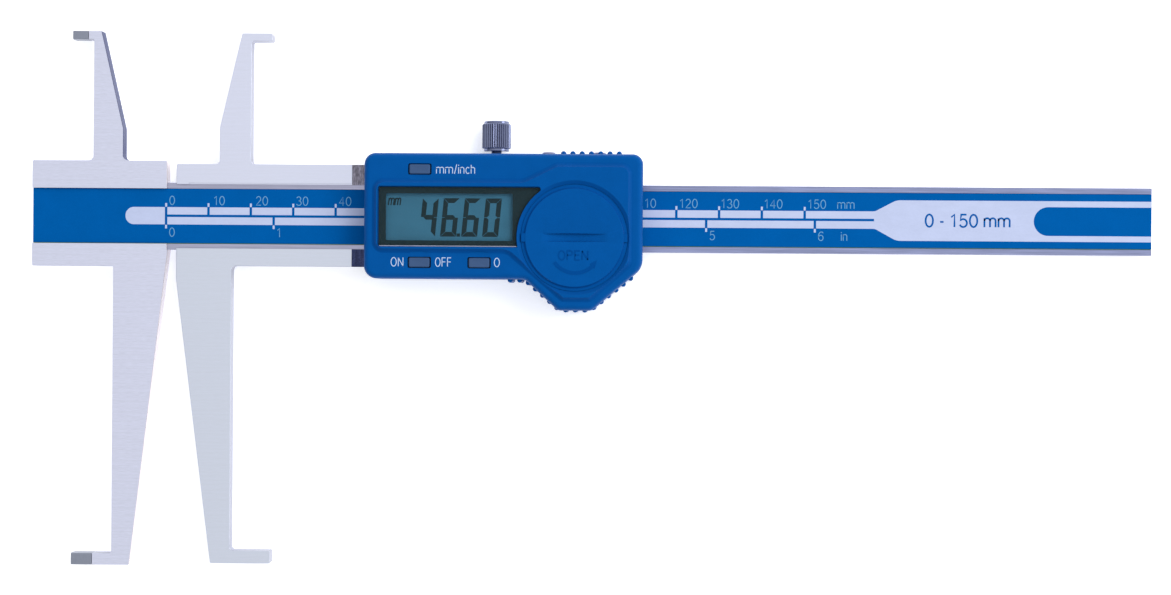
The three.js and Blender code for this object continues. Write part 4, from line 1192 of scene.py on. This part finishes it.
def build_side_screws():
    start, end = span("lock_screw")[2:4]
    low, flutes = KNOB.start, KNOB.flutes
    screw = turned(
        knob_profile(start, end), 6 * flutes, flutes, KNOB.flute_depth, fluted=(low + 0.7, end - 0.7))
    x = centre_of("lock_screw")[0]
    piece(along_y(screw, x), "lock_knob", "lock_screw", "knurled_steel",
          knob_steel, knob_neck_painted_shade, knurl_valleys_painted_shade, replaces=["lock_screw"])
    # Painted shade on the neck below the knob.
    paint(screw, knob_neck_painted_shade, lambda at, normal: at.y < low)
    # Painted shade in the valleys between the flutes.
    paint(screw, knurl_valleys_painted_shade, lambda at, normal: (
        low + 0.8 < at.y < end - 0.8
        and math.hypot(at.x - x, at.z - SIDE_SCREW_Z) < KNOB.radius - 0.02))

    for number in (1, 2):
        node = f"gib_screw_{number}"
        x = centre_of(node)[0]
        start, end = span(node)[2:4]
        head, under_head = 1.6, 12.45
        profile = [(0, start), (1.0, start), (1.2, start + 0.3), (1.2, under_head), (head, under_head)]
        profile += [(head - depth, z) for z, depth in rim(end, 0.45, 4)] + [(0, end)]
        slot = block(-head - PAST, head + PAST, -0.25, 0.25, end - 0.8, end + PAST)
        piece(along_y(cut(turned(profile, 64), slot), x), f"adjusting_screw_{number}", "slider",
              "fastener_steel", screw_steel, replaces=[node])


def build_fasteners():
    """Small slotted screws that are turned from the back, and the plate of the end stop."""
    for body, nodes in (("slider", HOUSING_SCREWS), ("beam", END_STOP_SCREWS)):
        for node in nodes:
            screw = refined_copy(node, 0.08)
            piece(screw, f"{node}_fine", body, "fastener_steel", screw_steel, replaces=[node])
    plate = refined_copy("end_stop", 0.12)
    piece(plate, "end_stop_plate", "beam", "fastener_steel", screw_steel, replaces=["end_stop"])


KEPT = (  # CAD nodes that keep their shape, by material
    (strip_green, ["scale_board"]),
    (brass, ["gib_strip", "lock_pad"]),
    (board_green, ["main_board"]),
    (black_plastic, ["controller_chip", "switch_unit", "switch_power", "switch_zero"]),
    (white_plastic, ["lcd_frame"]),
    (rubber, ["zebra_connector", "battery_o_ring"]),
    (spring_steel, ["battery", "battery_contact_plus", "battery_contact_minus"]),
    (back_silver, ["back_label"]),
    (screw_steel, BOARD_SCREWS),
)


def dress_kept_nodes():
    for material, names in KEPT:
        for name in names:
            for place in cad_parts[name].material_slots:
                place.link = "OBJECT"
                place.material = material


# --- stage, camera


SKY = 0.42  # strength of the surroundings at the horizon
BRIGHT_SIDE = (0.2, 0.16, 0.55)  # how much brighter they get to the right, to the back and upwards


def build_stage():
    mesh = bmesh.new()
    bmesh.ops.create_grid(mesh, x_segments=8, y_segments=8, size=3000)
    floor = shape_from(mesh)
    floor.name = "floor"
    floor.data.transform(Matrix.Scale(MM, 4))
    floor.data.materials.append(floor_white)
    floor.location.z = -0.0001

    world = bpy.data.worlds.new("studio")
    bpy.context.scene.world = world
    world.use_nodes = True
    tree = world.node_tree
    where = add_node(tree, "ShaderNodeTexCoord", output="Generated")
    towards = add_node(
        tree, "ShaderNodeVectorMath", {0: where, 1: BRIGHT_SIDE}, "Value", operation="DOT_PRODUCT")
    glow = add_node(tree, "ShaderNodeMath", {0: towards, 1: SKY}, operation="ADD")
    lit = add_node(tree, "ShaderNodeMath", {0: glow, 1: 0.1}, operation="MAXIMUM")
    feed(tree, tree.nodes["Background"], {"Strength": lit, "Color": STUDIO_WHITE})
    bpy.context.scene.view_settings.view_transform = "Standard"

    middle = PLACE @ Vector((100, 0, 0))
    # The key light isn't mirrored in the steel, which would burn out where it is seen in the faces.
    for name, offset, size, power, mirrored in (
            ("key light", (0.77, 0.49, 1.05), (1.0, 0.8), 9.0, False),
            ("side light", (0.9, 0.1, 0.4), (0.1, 0.5), 0.6, True)):
        data = bpy.data.lights.new(name, "AREA")
        data.shape = "RECTANGLE"
        data.size, data.size_y = size
        data.energy = power
        light = add_object(name, data)
        light.location = middle + Vector(offset)
        light.visible_glossy = mirrored
        light.rotation_mode = "QUATERNION"
        light.rotation_quaternion = (-Vector(offset)).to_track_quat("-Z", "Y")


CAMERA = Sizes(place=(109.75, -18.4, 524.9), turn=0.4, tilt=1.2, lens=68.21)


def build_camera():
    """Looks straight down on the caliper from half a metre above it."""
    turn = Matrix.Rotation(math.radians(CAMERA.turn), 4, "Z")
    tilt = Matrix.Rotation(math.radians(CAMERA.tilt), 4, "Y")
    data = bpy.data.cameras.new("camera")
    data.lens = CAMERA.lens
    data.clip_start = 0.01
    camera = add_object("camera", data)
    camera.matrix_world = Matrix.Translation(PLACE @ Vector(CAMERA.place)) @ turn @ tilt
    bpy.context.scene.camera = camera


# --- assembly

build_camera()
build_stage()
build_beam()
build_scale()
build_slider()
build_housing()
build_legends()
build_window()
build_display()
build_buttons()
build_battery_cover()
build_side_screws()
build_fasteners()
dress_kept_nodes()
